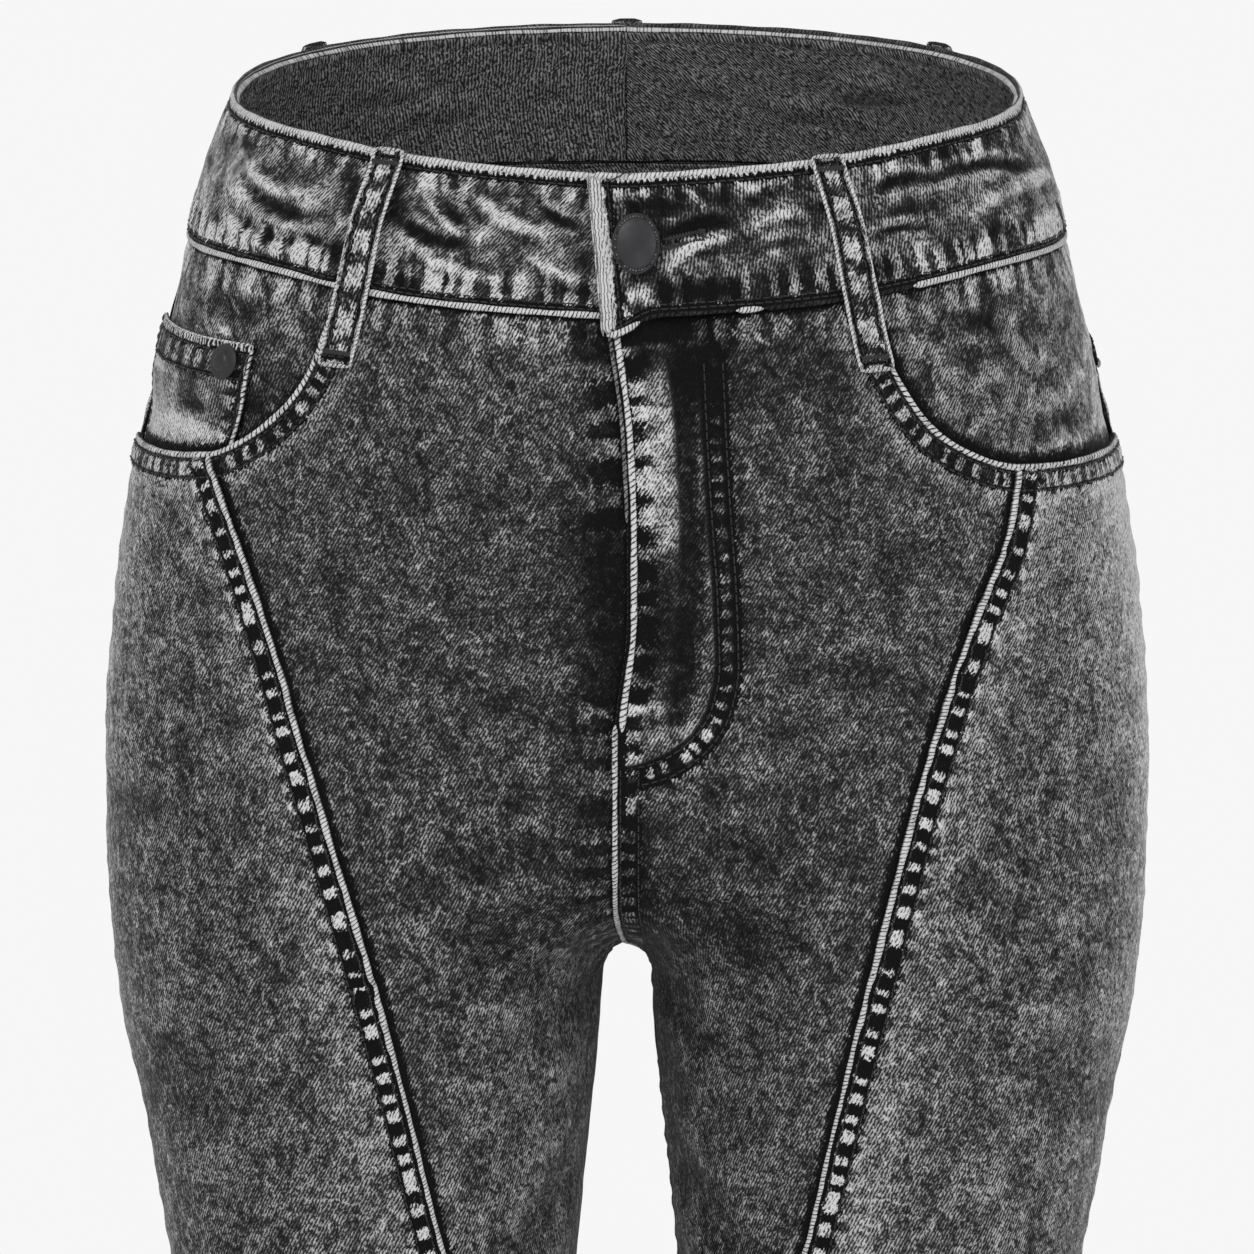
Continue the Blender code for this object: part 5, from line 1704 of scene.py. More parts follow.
def facing_places(side):
    """The cloth that shows inside a front pocket's opening."""
    mouth_start = mouth_curve(side, np.array([0.0]))[1][0]
    inner = mouth_start - side * FACING_UNDERLAP / half_round(WAIST[0].seam)
    arounds = inner + (0.5 * side - inner) * crowded(0.120, 0.0022)
    down = crowded(0.075, 0.0018)[:, None]
    return edge((1 - down) * waist("seam", arounds) + down * FACING_BOTTOM, arounds)


def coin_places():
    """The small pocket on the wearer's right facing. Its lower edge tucks in behind the pocket mouth."""
    mouth = mouth_curve(RIGHT, np.linspace(0, 1, MOUTH_STEPS))
    down = crowded(0.060, 0.0016)[:, None]
    over = crowded(0.075, 0.0016)[None, :]
    inner_height, inner_top = COIN_CORNERS["inner"]
    outer_height, outer_top = COIN_CORNERS["outer"]
    inner_around = inner_top + (COIN_INNER_BOTTOM - inner_top) * down
    arounds = inner_around + (outer_top - inner_around) * over
    top = inner_height + (outer_height - inner_height) * over
    low = np.interp(arounds[-1], np.abs(mouth[1]), mouth[0]) - COIN_TUCK
    return (1 - down) * top + down * low, -arounds


def back_pocket_places(side):
    """A plain patch pocket with a pointed foot, parallel to the yoke seam."""
    across = crowded(BACK_POCKET_TOP_WIDTH, 0.0026) - 0.5
    down = crowded(0.120, 0.0024)[:, None]
    width = BACK_POCKET_TOP_WIDTH + (BACK_POCKET_LOW_WIDTH - BACK_POCKET_TOP_WIDTH) * down
    depth = BACK_POCKET_SIDE + BACK_POCKET_POINT * (1 - np.abs(2 * across))
    arounds = BACK_POCKET_AROUND + width * across / half_round(YOKE_AT_BACK)
    heights = yoke_seam(arounds[0]) - BACK_POCKET_BELOW_YOKE - down * depth
    return edge(heights, arounds * side)


def waistband_places(side):
    """One half of the band, with its lift. The left ends in the flap with the buttonhole."""
    rim_end, seam_end = (FLAP_TOP_ACROSS, CENTRE_SEAM[0].across) if side == LEFT else (BAND_UNDERLAP,) * 2
    down = crowded(0.043, 0.0015)[:, None]
    start_across = rim_end + (seam_end - rim_end) * down[:, 0]
    start = around_at(WAIST[0].seam * down[:, 0], start_across)[:, None]
    split = FLAP_COLUMNS_END * side
    near_centre = (2 * crowded(0.110, 0.0016)[:CLOSE_COLUMNS])[None, :]
    near_centre = near_centre / (near_centre[0, -1] + 0.02)
    far = np.linspace(split, side, FAR_COLUMNS)[None, :]
    arounds = np.concatenate([start + (split - start) * near_centre, far * np.ones_like(down)], axis=1)
    seam = waist("seam", arounds)
    lift = np.full(arounds.shape, BAND_LIFT)
    if side == LEFT:
        across = np.where(arounds < 0.5, place(WAIST[0].seam / 2, arounds)[..., 0], 1)
        droop = 1 - smoothstep((across - CENTRE_SEAM[0].across) / FLAP_DROOP_WIDTH)
        seam = seam - FLAP_DROOP * droop
        lift += FLAP_RAISE * (1 - smoothstep((across - FLAP_FLAT) / FLAP_RAMP))
    return ((1 - down) * waist("rim", arounds) + down * seam, arounds), lift


def belt_loop_places(loop):
    """A strip from the rim over the band to just below its seam, standing off the band in its middle."""
    along = crowded(0.070, 0.0012)[:, None]
    across = (crowded(LOOP_WIDTH, 0.0008) - 0.5)[None, :]
    rim = waist("rim", np.array(loop.top)) + LOOP_OVER_RIM
    heights = rim + (LOOP_BOTTOM - rim) * along + 0 * across
    arounds = loop.top + (loop.bottom - loop.top) * along + LOOP_WIDTH * across / half_round(WAIST[0].seam)
    on_band = 1 - smoothstep((along - LOOP_SEAM) / LOOP_STEP_DOWN)
    slack = LOOP_SLACK * np.sin(math.pi * np.clip(along / LOOP_SEAM, 0, 1)) ** 2
    lift = STACK_GAP + BAND_LIFT * on_band + slack + CLOTH + 0 * across
    return (heights, arounds), lift


def grid_border(places, lift, border):
    """A seam line along one border of a sheet: top, bottom, first or last."""
    heights, arounds = places
    lift = np.broadcast_to(lift, heights.shape)
    part = {"top": np.s_[0, :], "bottom": np.s_[-1, :], "first": np.s_[:, 0], "last": np.s_[:, -1]}[border]
    return resampled(place(heights[part], arounds[part], lift[part]), outward(heights[part], arounds[part]))


def resampled(points, normals):
    """The same line with a point about every millimetre."""
    run = run_along(points)
    at = even_run(run)
    return line_through(between(at, run, points), unit(between(at, run, normals)))


def joined_lines(lines):
    return resampled(*(np.concatenate(values) for values in list(zip(*lines))[:2]))


# ---- Folded edges, stitches and other things laid along lines ----


@cache
def surface(name):
    """The finished sheet as a tree that rays can be cast at."""
    mesh = bpy.data.objects[name + "_cloth"].data
    points = np.empty(len(mesh.vertices) * 3)
    mesh.vertices.foreach_get("co", points)
    corners = np.empty(len(mesh.loops), np.int32)
    mesh.loops.foreach_get("vertex_index", corners)
    return BVHTree.FromPolygons(points.reshape(-1, 3).tolist(), corners.reshape(-1, 4).tolist())


def settle(line, sheets, rise=0.0, reach=0.006):
    """The line brought down on to the outermost of the sheets, then raised."""
    trees = [surface(name) for name in sheets]
    falls = []
    for point, normal in zip(line.points, line.normals):
        start = Vector(point) + Vector(normal) * reach
        hits = [tree.ray_cast(start, -Vector(normal), 2 * reach)[3] for tree in trees]
        falls.append(min((fall for fall in hits if fall is not None), default=np.nan))
    offset = reach - np.array(falls)
    missing = np.isnan(offset)
    if missing.all():
        return raised(line, rise)
    index = np.arange(len(offset))
    offset[missing] = np.interp(index[missing], index[~missing], offset[~missing])
    return line_through(line.points + (offset + rise)[:, None] * line.normals, line.normals)


def smoothed(line, rounds):
    points = line.points.copy()
    for _ in range(rounds):
        points[1:-1] = (points[:-2] + 2 * points[1:-1] + points[2:]) / 4
    return line_through(points, line.normals)


def leans_back(along, up, over):
    """Whether strands that wind with the turn would slant against the cloth's twill, seen from outside."""
    right = unit(np.cross((0, 0, 1), up.mean(axis=0)))
    forward, sideways = along.mean(axis=0), over.mean(axis=0)

    def slant(wind):
        strand = sideways - wind * forward
        return (strand @ right) * strand[2]

    return slant(1) < slant(-1)


def tube(points, normals, radii, sides, flat=1.0, first_run=0.0):
    """The vertices, faces and flat places of a closed round strip along a line."""
    along = unit(np.gradient(points, axis=0))
    up = unit(normals - (normals * along).sum(1, keepdims=True) * along)
    over = np.cross(along, up)
    turn = np.linspace(0, 1, sides, endpoint=False)
    angle = FULL_TURN * turn + math.pi
    rings = points[:, None] + radii[:, None, None] * (
        flat * np.cos(angle)[None, :, None] * up[:, None] + np.sin(angle)[None, :, None] * over[:, None]
    )
    count = len(points)
    index = np.arange(count * sides).reshape(count, sides)
    nxt = np.roll(index, -1, axis=1)
    walls = np.stack([index[:-1], index[1:], nxt[1:], nxt[:-1]], axis=-1).reshape(-1, 4)
    run = first_run + run_along(points)
    if leans_back(along, up, over):
        turn = 1 - turn
    places = np.stack(np.broadcast_arrays(run[:, None], turn[None, :]), axis=-1)
    return rings.reshape(-1, 3), walls, [index[0], index[-1][::-1]], places.reshape(-1, 2)


def tube_piece(name, tubes, material):
    """Many closed strips as one piece."""
    points, faces, places, start = [], [], [], 0
    for rings, walls, ends, flat_run in tubes:
        points.append(rings)
        faces += (walls + start).tolist()
        faces += [(end + start).tolist() for end in ends]
        places.append(flat_run)
        start += len(rings)
    mesh = bpy.data.meshes.new(name)
    mesh.from_pydata(np.concatenate(points).tolist(), [], faces)
    mesh.shade_smooth()
    set_uvs(mesh, "roll", np.concatenate(places))
    mesh.materials.append(material)
    piece = bpy.data.objects.new(name, mesh)
    bpy.context.scene.collection.objects.link(piece)
    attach(piece, BODY)
    return piece


def part_of(line, step):
    """The line with only a point about every step."""
    keep = max(1, round(step / LINE_STEP))
    index = np.unique(np.append(np.arange(0, len(line.points), keep), len(line.points) - 1))
    return Line(line.points[index], line.normals[index], line.run[index])


def folded_edge(line, radius, step=0.0015, sides=8, flat=0.8):
    """A folded edge's round strip, a little uneven in thickness, tapering at both ends."""
    line = part_of(smoothed(line, 3), step)
    uneven = 1 + 0.10 * np.sin(173 * line.run) + 0.07 * np.sin(411 * line.run + 1)
    ends = np.minimum(line.run, line.run[-1] - line.run) / 0.0015
    radii = radius * uneven * np.clip(ends, 0.25, 1)
    return tube(line.points, line.normals, radii, sides, flat)


def stitch_row(line, pitch, thickness):
    """Stitches along a settled line: each rises out of the cloth and goes back in."""
    made = []
    rise = np.array([-0.55, 0.35, 0.62, 0.35, -0.55]) * thickness
    width = np.array([0.42, 0.50, 0.52, 0.50, 0.42]) * thickness
    for begin in np.arange(0.0, line.run[-1] - pitch, pitch):
        at = begin + pitch * np.array([0.06, 0.22, 0.46, 0.70, 0.86])
        points = between(at, line.run, line.points)
        normals = unit(between(at, line.run, line.normals))
        made.append(tube(points + rise[:, None] * normals, normals, width, 6, first_run=begin))
    return made


def bar_tack(middle, normal, direction, length, width):
    """Close zigzag threads that hold the end of a belt loop or a fly."""
    thickness = bpy.context.scene.jeans_cloth.thread
    made = []
    across = np.cross(normal, direction)
    count = max(3, round(length / (0.9 * thickness)))
    for k, shift in enumerate(np.linspace(-length / 2, length / 2, count)):
        lean = 0.12 * width * (1 if k % 2 else -1)
        ends = np.linspace(-0.5, 0.5, 5)[:, None] * width
        line = middle + shift * direction + ends * across + lean * np.linspace(-1, 1, 5)[:, None] * direction
        line = line + (0.9 * thickness * (1 - np.linspace(-1, 1, 5) ** 4))[:, None] * normal
        made.append(tube(line, np.tile(normal, (5, 1)), np.full(5, 0.5 * thickness), 6))
    return made


# ---- What lies along the seams ----

SEAMS = {
    "waist": waist_seam,
    "mouth": mouth_seam,
    "slant": slant_seam,
    "side": side_seam,
    "inseam": inseam,
    "yoke": yoke_line,
    "rise": rise_seam,
}


def seams_of(side, names):
    return {name: SEAMS[name](side) for name in names.split()}


def hem_part(side, start=INSEAM, end=1, count=400):
    """The bottom edge of one leg between two places round it."""
    return seam_line(HEM, np.linspace(start, end, count) * side)


def both(first, second):
    """Two lines as one, each with its own run."""
    return Line(*(np.concatenate(pair) for pair in zip(first, second)))


def kept(line, chosen):
    """The chosen places of a line, as a line of its own."""
    return line_through(line.points[chosen], line.normals[chosen])


def borders_of(places, lift=0.0):
    """The four borders of a sheet as seam lines."""
    return {border: grid_border(places, lift, border) for border in ("top", "bottom", "first", "last")}


@cache
def band_borders(side):
    return borders_of(*waistband_places(side))


@cache
def coin_borders():
    places = coin_places()
    return borders_of(places, facing_lift(RIGHT, *places) + COIN_STEP)


@cache
def pocket_outline(side):
    """A back pocket's sewn outline, and its opening."""
    borders = borders_of(back_pocket_places(side), BACK_POCKET_LIFT + CLOTH)
    last = borders["last"]
    last = Line(last.points[::-1], last.normals[::-1], last.run)
    return joined_lines([borders["first"], borders["bottom"], last]), borders["top"]


@cache
def fly_fold():
    """The folded edge of the fly, down to the crotch and on along the inseam."""
    places = front_centre_places(LEFT)
    return grid_border(places, fly_lift(places), "first")


# The band's lower edge on the wearer's left, from the flap: kind, start, finish and radius
LOW_EDGE_SPELLS = (
    ("band_low", 0, 0.012, 0.00110),
    ("band_low_dim", 0.011, 0.042, 0.00080),
    ("band_low", 0.041, 0.051, 0.00105),
    ("band_low_dim", 0.050, 0.100, 0.00090),
    ("band_low", 0.099, 9, 0.00108),
)


def rope_rows():
    """Every folded edge: its kind, line and radius."""
    for side, end in SIDES:
        fronts = (f"front_side_{end}", f"front_centre_{end}")
        yield "slant", settle(slant_seam(side), fronts, 0.0002), 0.00115
        yield "mouth", settle(beside(mouth_seam(side), -side * 0.0006), fronts), 0.00105
        yield "rim", raised(band_borders(side)["top"], -0.0008), 0.00110
        low = raised(band_borders(side)["bottom"], -0.0006)
        if side == LEFT:
            for kind, start, finish, radius in LOW_EDGE_SPELLS:
                yield kind, kept(low, (low.run >= start) & (low.run <= finish)), radius
        else:
            yield "band_low", kept(low, low.points[:, 0] < 0.001), 0.00108
        yield "yoke", settle(yoke_line(side), (f"back_yoke_{end}", f"back_leg_{end}"), 0.0002), 0.00095
        outline, opening = pocket_outline(side)
        yield "pocket", raised(outline, -0.0005), 0.00085
        yield "pocket", raised(opening, -0.0004), 0.0009
        yield "hem", raised(hem_part(side), -0.0006), 0.0011
    flap = band_borders(LEFT)["first"]
    yield "flap", raised(beside(flap, 0.0009), -0.0013), 0.0020
    yield "flap_strand", raised(beside(flap, -0.0011), -0.0012), 0.0005
    backs = ("back_leg_left", "back_leg_right", "back_yoke_left")
    yield "rise", settle(rise_seam(LEFT), backs, 0.0003), 0.00095
    fold = fly_fold()
    heights = fold.points[:, 2]
    yield "fly", raised(kept(fold, heights > -0.121), -0.0004), 0.00072
    stitched = beside(kept(fold, heights > -0.1845), 0.0021)
    yield "fly_stitched", settle(stitched, ("front_centre_left",), 0.0001), 0.00105
    yield "fly_low", kept(fold, (heights < -0.182) & (heights > CROTCH - 0.005)), 0.00095
    for border, radius in (("top", 0.0008), ("first", 0.00085), ("last", 0.00060)):
        yield "coin", raised(coin_borders()[border], -0.0003), radius
    for loop in LOOPS:
        borders = borders_of(*belt_loop_places(loop))
        for border in ("first", "last"):
            yield "loop", raised(borders[border], -0.0002), 0.00058
        for border in ("top", "bottom"):
            yield "loop_end", raised(borders[border], -0.0003), 0.00080


# Strand length, wear and depth of the notches of each kind of folded edge, and how many strands it has where
# that isn't two
ROPES = {
    "slant": (0.00125, 1.05, 0.55),
    "mouth": (0.0018, 1.02, 0.85),
    "rim": (0.0013, 1.10, 0.45),
    "band_low": (0.0012, 1.12, 0.75),
    "band_low_dim": (0.0020, 0.30, 0.30),
    "yoke": (0.0013, 0.98, 0.55),
    "pocket": (0.0013, 0.95, 0.55),
    "hem": (0.0018, 0.95, 0.60),
    "flap": (0.0170, 1.10, 0.60, 12.0),
    "flap_strand": (0.0090, 0.95, 0.40, 3.0),
    "rise": (0.0013, 0.98, 0.55),
    "fly": (0.0020, 0.72, 0.60),
    "fly_stitched": (0.0019, 1.10, 0.65),
    "fly_low": (0.0017, 1.00, 0.60),
    "coin": (0.0019, 1.05, 0.70),
    "loop": (0.0014, 1.20, 0.60),
    "loop_end": (0.0014, 1.00, 0.50),
}


# How far beside its seam each row of stitches runs, in millimetres
STITCH_ROWS = {
    "mouth": (2.3, 7.8),
    "slant": (2.1, 7.2),
    "rim": (3,),
    "band_seam": (1.7, 3.1),
    "flap": (4.6,),
    "hem": (13.2,),
    "yoke": (2.1, 7.6),
    "rise": (2.1, 7.6),
    "outline": (2.1, 7.8),
    "opening": (2.6, 14),
    "j_stitch": (-2.9, 2.9),
    "fly_fold": (1.7, 7.2),
    "coin_top": (2.8, 10.6),
    "coin_side": (1.9,),
    "coin_outer": (1.9, 5.3),
    "loop_edge": (2,),
    "loop_end": (2.7,),
}


# Borders of a belt loop, the rows along them and which side of the border these lie on
LOOP_STITCHES = (
    ("first", "loop_edge", 1), ("last", "loop_edge", -1), ("top", "loop_end", -1), ("bottom", "loop_end", 1),
)


def stitched(piece, seam, line, turn, *sheets):
    """A seam's rows of stitches: their piece, and each row as a line settled on the sheets."""
    return [(piece, settle(beside(line, turn * away / MM), sheets)) for away in STITCH_ROWS[seam]]


def topstitching():
    """Every row of stitches: its piece and its line."""
    rows = []
    for side, end in SIDES:
        front, back, band = f"front_stitches_{end}", f"back_stitches_{end}", f"band_stitches_{end}"
        centre, outer, leg = f"front_centre_{end}", f"front_side_{end}", f"back_leg_{end}"
        rows += stitched(front, "mouth", mouth_seam(side), -side, centre, outer)
        rows += stitched(front, "slant", slant_seam(side), side, centre, outer)
        rows += stitched(band, "rim", band_borders(side)["top"], -side, f"waistband_{end}")
        rows += stitched(band, "band_seam", band_borders(side)["bottom"], side, f"waistband_{end}")
        rows += stitched(f"hem_stitches_{end}", "hem", hem_part(side), side, outer, leg)
        rows += stitched(back, "yoke", yoke_line(side), side, f"back_yoke_{end}")
        outline, opening = pocket_outline(side)
        rows += stitched(back, "outline", outline, inward_turn(outline), f"back_pocket_{end}")
        rows += stitched(back, "opening", opening, -side, f"back_pocket_{end}")
    rows += stitched("back_stitches_left", "rise", rise_seam(LEFT), -1, "back_yoke_left", "back_leg_left")
    rows += stitched("fly_stitches", "j_stitch", j_stitch(), 1, "front_centre_left")
    heights = fly_fold().points[:, 2]
    lower_fold = kept(fly_fold(), (heights < -0.196) & (heights > CROTCH - 0.004))
    rows += stitched("fly_stitches", "fly_fold", lower_fold, 1, "front_centre_left")
    rows += stitched("band_stitches_left", "flap", band_borders(LEFT)["first"], 1, "waistband_left")
    for seam, border, turn in (("coin_top", "top", 1), ("coin_side", "first", -1), ("coin_outer", "last", 1)):
        rows += stitched("coin_stitches", seam, coin_borders()[border], turn, "coin_pocket")
    for loop in LOOPS:
        borders = borders_of(*belt_loop_places(loop))
        for border, seam, turn in LOOP_STITCHES:
            rows += stitched("loop_stitches", seam, borders[border], turn, loop.name)
    return rows


def inward_turn(outline):
    """Which side of a pocket's outline the pocket lies on."""
    index = len(outline.points) // 4
    inwards = outline.points.mean(axis=0) - outline.points[index]
    return float(np.sign((inwards * directions(outline)[1][index]).sum()))


LOOP_TACK = (0.0085, 0.0013)  # length and width
LIP_WIDTH = 0.0013
BUTTONHOLE_END = (0.0036, 0.0018)


def loop_tacks():
    """The bar tacks that hold both ends of every belt loop."""
    made = []
    for loop in LOOPS:
        places, lift = belt_loop_places(loop)
        for row in (6, -7):
            heights, arounds = places[0][row], places[1][row]
            points = place(heights, arounds, lift[row])
            normal = unit(outward(heights, arounds).mean(axis=0))
            along = unit(points[-1] - points[0])
            made += bar_tack(points.mean(axis=0) + 0.0003 * normal, normal, along, *LOOP_TACK)
    return made


def buttonhole():
    """The buttonhole's slit, on the left end of the waistband."""
    heights = np.linspace(-0.0216, -0.0188, 40)
    return seam_line(heights, around_at(heights, np.linspace(0.0080, 0.0225, 40)))


def buttonhole_threads():
    """Close threads round both lips of the slit and across its far end."""
    slit = settle(buttonhole(), ("waistband_left",))
    made = []
    for away in (-LIP_WIDTH, LIP_WIDTH):
        lip = settle(beside(slit, away), ("waistband_left",))
        middle = len(lip.points) // 2
        normal = lip.normals[middle]
        along = unit(lip.points[-1] - lip.points[0])
        made += bar_tack(lip.points[middle] - 0.0002 * normal, normal, along, lip.run[-1], LIP_WIDTH)
    across = np.cross(slit.normals[-1], unit(slit.points[-1] - slit.points[0]))
    return made + bar_tack(slit.points[-1], slit.normals[-1], across, *BUTTONHOLE_END)


# Loose ends of thread over the rim beside the button: across, lean, rise and height
STRAYS = ((-0.0062, 0.0085, 0.0050, -0.0030), (0.0262, -0.0016, 0.0022, -0.0010))


def stray_threads():
    made = []
    for across, lean, rise, height in STRAYS:
        foot = place(height, around_at(height, across)[0], BAND_LIFT + FLAP_RAISE * (across < 0.02) + 0.0002)
        at = np.linspace(0, 1, 9)[:, None]
        way = at * (lean, -0.0006, rise) + (at**2 - at) * (0.0, 0.0, 0.0028)
        made.append(tube(foot + way, np.tile((0.0, -1.0, 0.0), (9, 1)), np.full(9, 0.00024), 6))
    return made


# ---- The button, the rivet and the zip ----

ZIP_LIFT = -(CLOTH + STACK_GAP + ZIP_TAPE_THICK / 2)
TOOTH_PITCH = 0.0015
TOOTH = (0.0030, 0.0012, 0.0019)  # across, along and out of the cloth, as the three sizes below
SLIDER = (0.0086, 0.0090, 0.0040)
BRIDGE = (0.0030, 0.0060, 0.0014)
PULL = (0.0052, 0.0150, 0.0009)


def begin_mesh(name):
    """Names the primitive that was just added and opens it in edit mode, all selected."""
    piece = bpy.context.object
    piece.name = piece.data.name = name
    bpy.ops.object.transform_apply(location=True, rotation=True, scale=True)
    bpy.ops.object.mode_set(mode="EDIT")
    bpy.ops.mesh.select_mode(type="FACE")
    bpy.ops.mesh.select_all(action="SELECT")
    return piece


def stud(name, width, tall, profile, steps):
    """A round stud raised step by step from a flat disc: profile gives (part of the radius, height in mm)."""
    bpy.ops.object.select_all(action="DESELECT")
    radius, rise = profile[0]
    at = (0, 0, rise / MM)
    bpy.ops.mesh.primitive_circle_add(vertices=steps, radius=radius, fill_type="NGON", location=at)
    piece = begin_mesh(name)
    for radius_next, rise_next in profile[1:]:
        step = (0, 0, (rise_next - rise) / MM)
        bpy.ops.mesh.extrude_region_move(TRANSFORM_OT_translate={"value": step})
        grow = radius_next / radius
        bpy.ops.transform.resize(value=(grow, grow, 1), center_override=(0, 0, 0))
        radius, rise = radius_next, rise_next
    bpy.ops.mesh.select_all(action="SELECT")
    bpy.ops.transform.resize(value=(width / 2, tall / 2, 1), center_override=(0, 0, 0))
    bpy.ops.mesh.normals_make_consistent(inside=False)
    bpy.ops.object.mode_set(mode="OBJECT")
    return piece


def seat(point, normal):
    """The place and turn of a small part on the form: across the cloth, down it, and out of it."""
    out = Vector(normal)
    across = Vector((0, 0, 1)).cross(out).normalized()
    turn = Matrix((across, out.cross(across), out)).transposed().to_4x4()
    return Matrix.Translation(Vector(point)) @ turn


def zip_seat(height, across, lift):
    around = around_at(height, across)[0]
    return seat(place(height, around, lift), outward(height, around))


def set_stud(piece, height, around, lift, replaced):
    """Sets the button or the rivet on the cloth in place of its solid."""
    piece.data.transform(seat(place(height, around, lift), outward(height, around)))
    piece.data.update()
    make_active(piece)
    bpy.ops.object.shade_smooth_by_angle(angle=math.radians(38))
    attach(piece, BODY)
    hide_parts(replaced)


BUTTON_PROFILE = (
    (0.55, 0), (0.55, 1), (0.94, 1.2), (0.985, 1.6), (1, 2.1), (0.99, 2.6), (0.965, 2.85), (0.945, 2.9),
    (0.93, 2.8), (0.90, 2.68), (0.86, 2.72), (0.84, 2.95), (0.78, 3.18), (0.65, 3.5), (0.48, 3.8), (0.30, 4),
    (0.12, 4.1),
)
RIVET_PROFILE = (
    (0.97, 0), (1, 0.3), (0.97, 0.7), (0.88, 0.9), (0.66, 1), (0.60, 1.1), (0.52, 1.8), (0.44, 2.2),
    (0.30, 2.4), (0.12, 2.4),
)
DOTS = 44
DOT = 0.00036
DOT_RING = 0.88  # the ring of dots, as a part of the button's size
DOT_RISE = 0.0028


def add_dots(piece, width, tall):
    """A plain ring of small beads pressed into the stud's face."""
    make_active(piece)
    bpy.ops.object.mode_set(mode="EDIT")
    bpy.ops.mesh.select_all(action="DESELECT")
    for turn in np.arange(DOTS) * FULL_TURN / DOTS:
        at = (DOT_RING * width / 2 * math.cos(turn), DOT_RING * tall / 2 * math.sin(turn), DOT_RISE)
        bpy.ops.mesh.primitive_ico_sphere_add(subdivisions=2, radius=DOT, location=at)
        piece.active_material_index = 1
        bpy.ops.object.material_slot_assign()
        bpy.ops.mesh.select_all(action="DESELECT")
    bpy.ops.object.mode_set(mode="OBJECT")


def zip_tape(turn):
    """One tape of the zip, as places."""
    heights = rows_down(ZIP_TOP, ZIP_BOTTOM, 0.003)
    middle = centre_across(heights) + ZIP_ACROSS
    across = middle[:, None] + turn * np.linspace(0.0006, ZIP_TAPE, 8)[None, :]
    arounds = np.array([around_at(np.full(8, height), row) for height, row in zip(heights, across)])
    return edge(heights[:, None], arounds)


def shaped_block(name, size, bevel):
    """A small block with rounded edges, from a cube."""
    bpy.ops.object.select_all(action="DESELECT")
    bpy.ops.mesh.primitive_cube_add(size=1, location=(0, 0, 0))
    piece = begin_mesh(name)
    bpy.ops.transform.resize(value=size, center_override=(0, 0, 0))
    bpy.ops.mesh.bevel(offset=bevel, segments=1)
    bpy.ops.object.mode_set(mode="OBJECT")
    return piece


def zip_chain():
    """The closed teeth, in turn from the left and the right tape: one is modelled and the rest are copies."""
    tooth = shaped_block("zip_teeth", TOOTH, 0.0003)
    first = tooth.data.copy()
    made = [tooth]
    for k, height in enumerate(np.arange(ZIP_TOP - 0.010, ZIP_BOTTOM + 0.003, -TOOTH_PITCH)):
        if k:
            made.append(bpy.data.objects.new("zip_tooth", first.copy()))
            bpy.context.scene.collection.objects.link(made[-1])
        across = centre_across(height) + ZIP_ACROSS + 0.0006 * (1 if k % 2 else -1)
        made[-1].data.transform(zip_seat(height, across, ZIP_LIFT - 0.0006))
    make_active(tooth)
    for piece in made:
        piece.select_set(True)
    bpy.ops.object.join()
    bpy.data.meshes.remove(first)
    return tooth


def zip_slider():
    """The slider at the top of the closed chain, with its bridge and its pull hanging down inside."""
    slider = shaped_block("zip_slider", SLIDER, 0.0007)
    make_active(slider)
    bpy.ops.object.mode_set(mode="EDIT")
    bpy.ops.mesh.select_all(action="DESELECT")
    for size, at in ((BRIDGE, (0, 0.0004, -0.0026)), (PULL, (0, -0.0088, -0.0030))):
        bpy.ops.mesh.primitive_cube_add(size=1, location=at)
        bpy.ops.transform.resize(value=size, center_override=at)
        bpy.ops.mesh.bevel(offset=0.0002, segments=2)
        bpy.ops.mesh.select_all(action="DESELECT")
    bpy.ops.object.mode_set(mode="OBJECT")
    height = ZIP_TOP - 0.006
    slider.data.transform(zip_seat(height, centre_across(height) + ZIP_ACROSS, ZIP_LIFT - 0.0014))
    return slider


# ---- One operator for each piece or group of like pieces ----


def look_at(piece, target):
    """Turns a camera or a light towards a place."""
    piece.rotation_euler = (Vector(target) - piece.location).to_track_quat("-Z", "Y").to_euler()


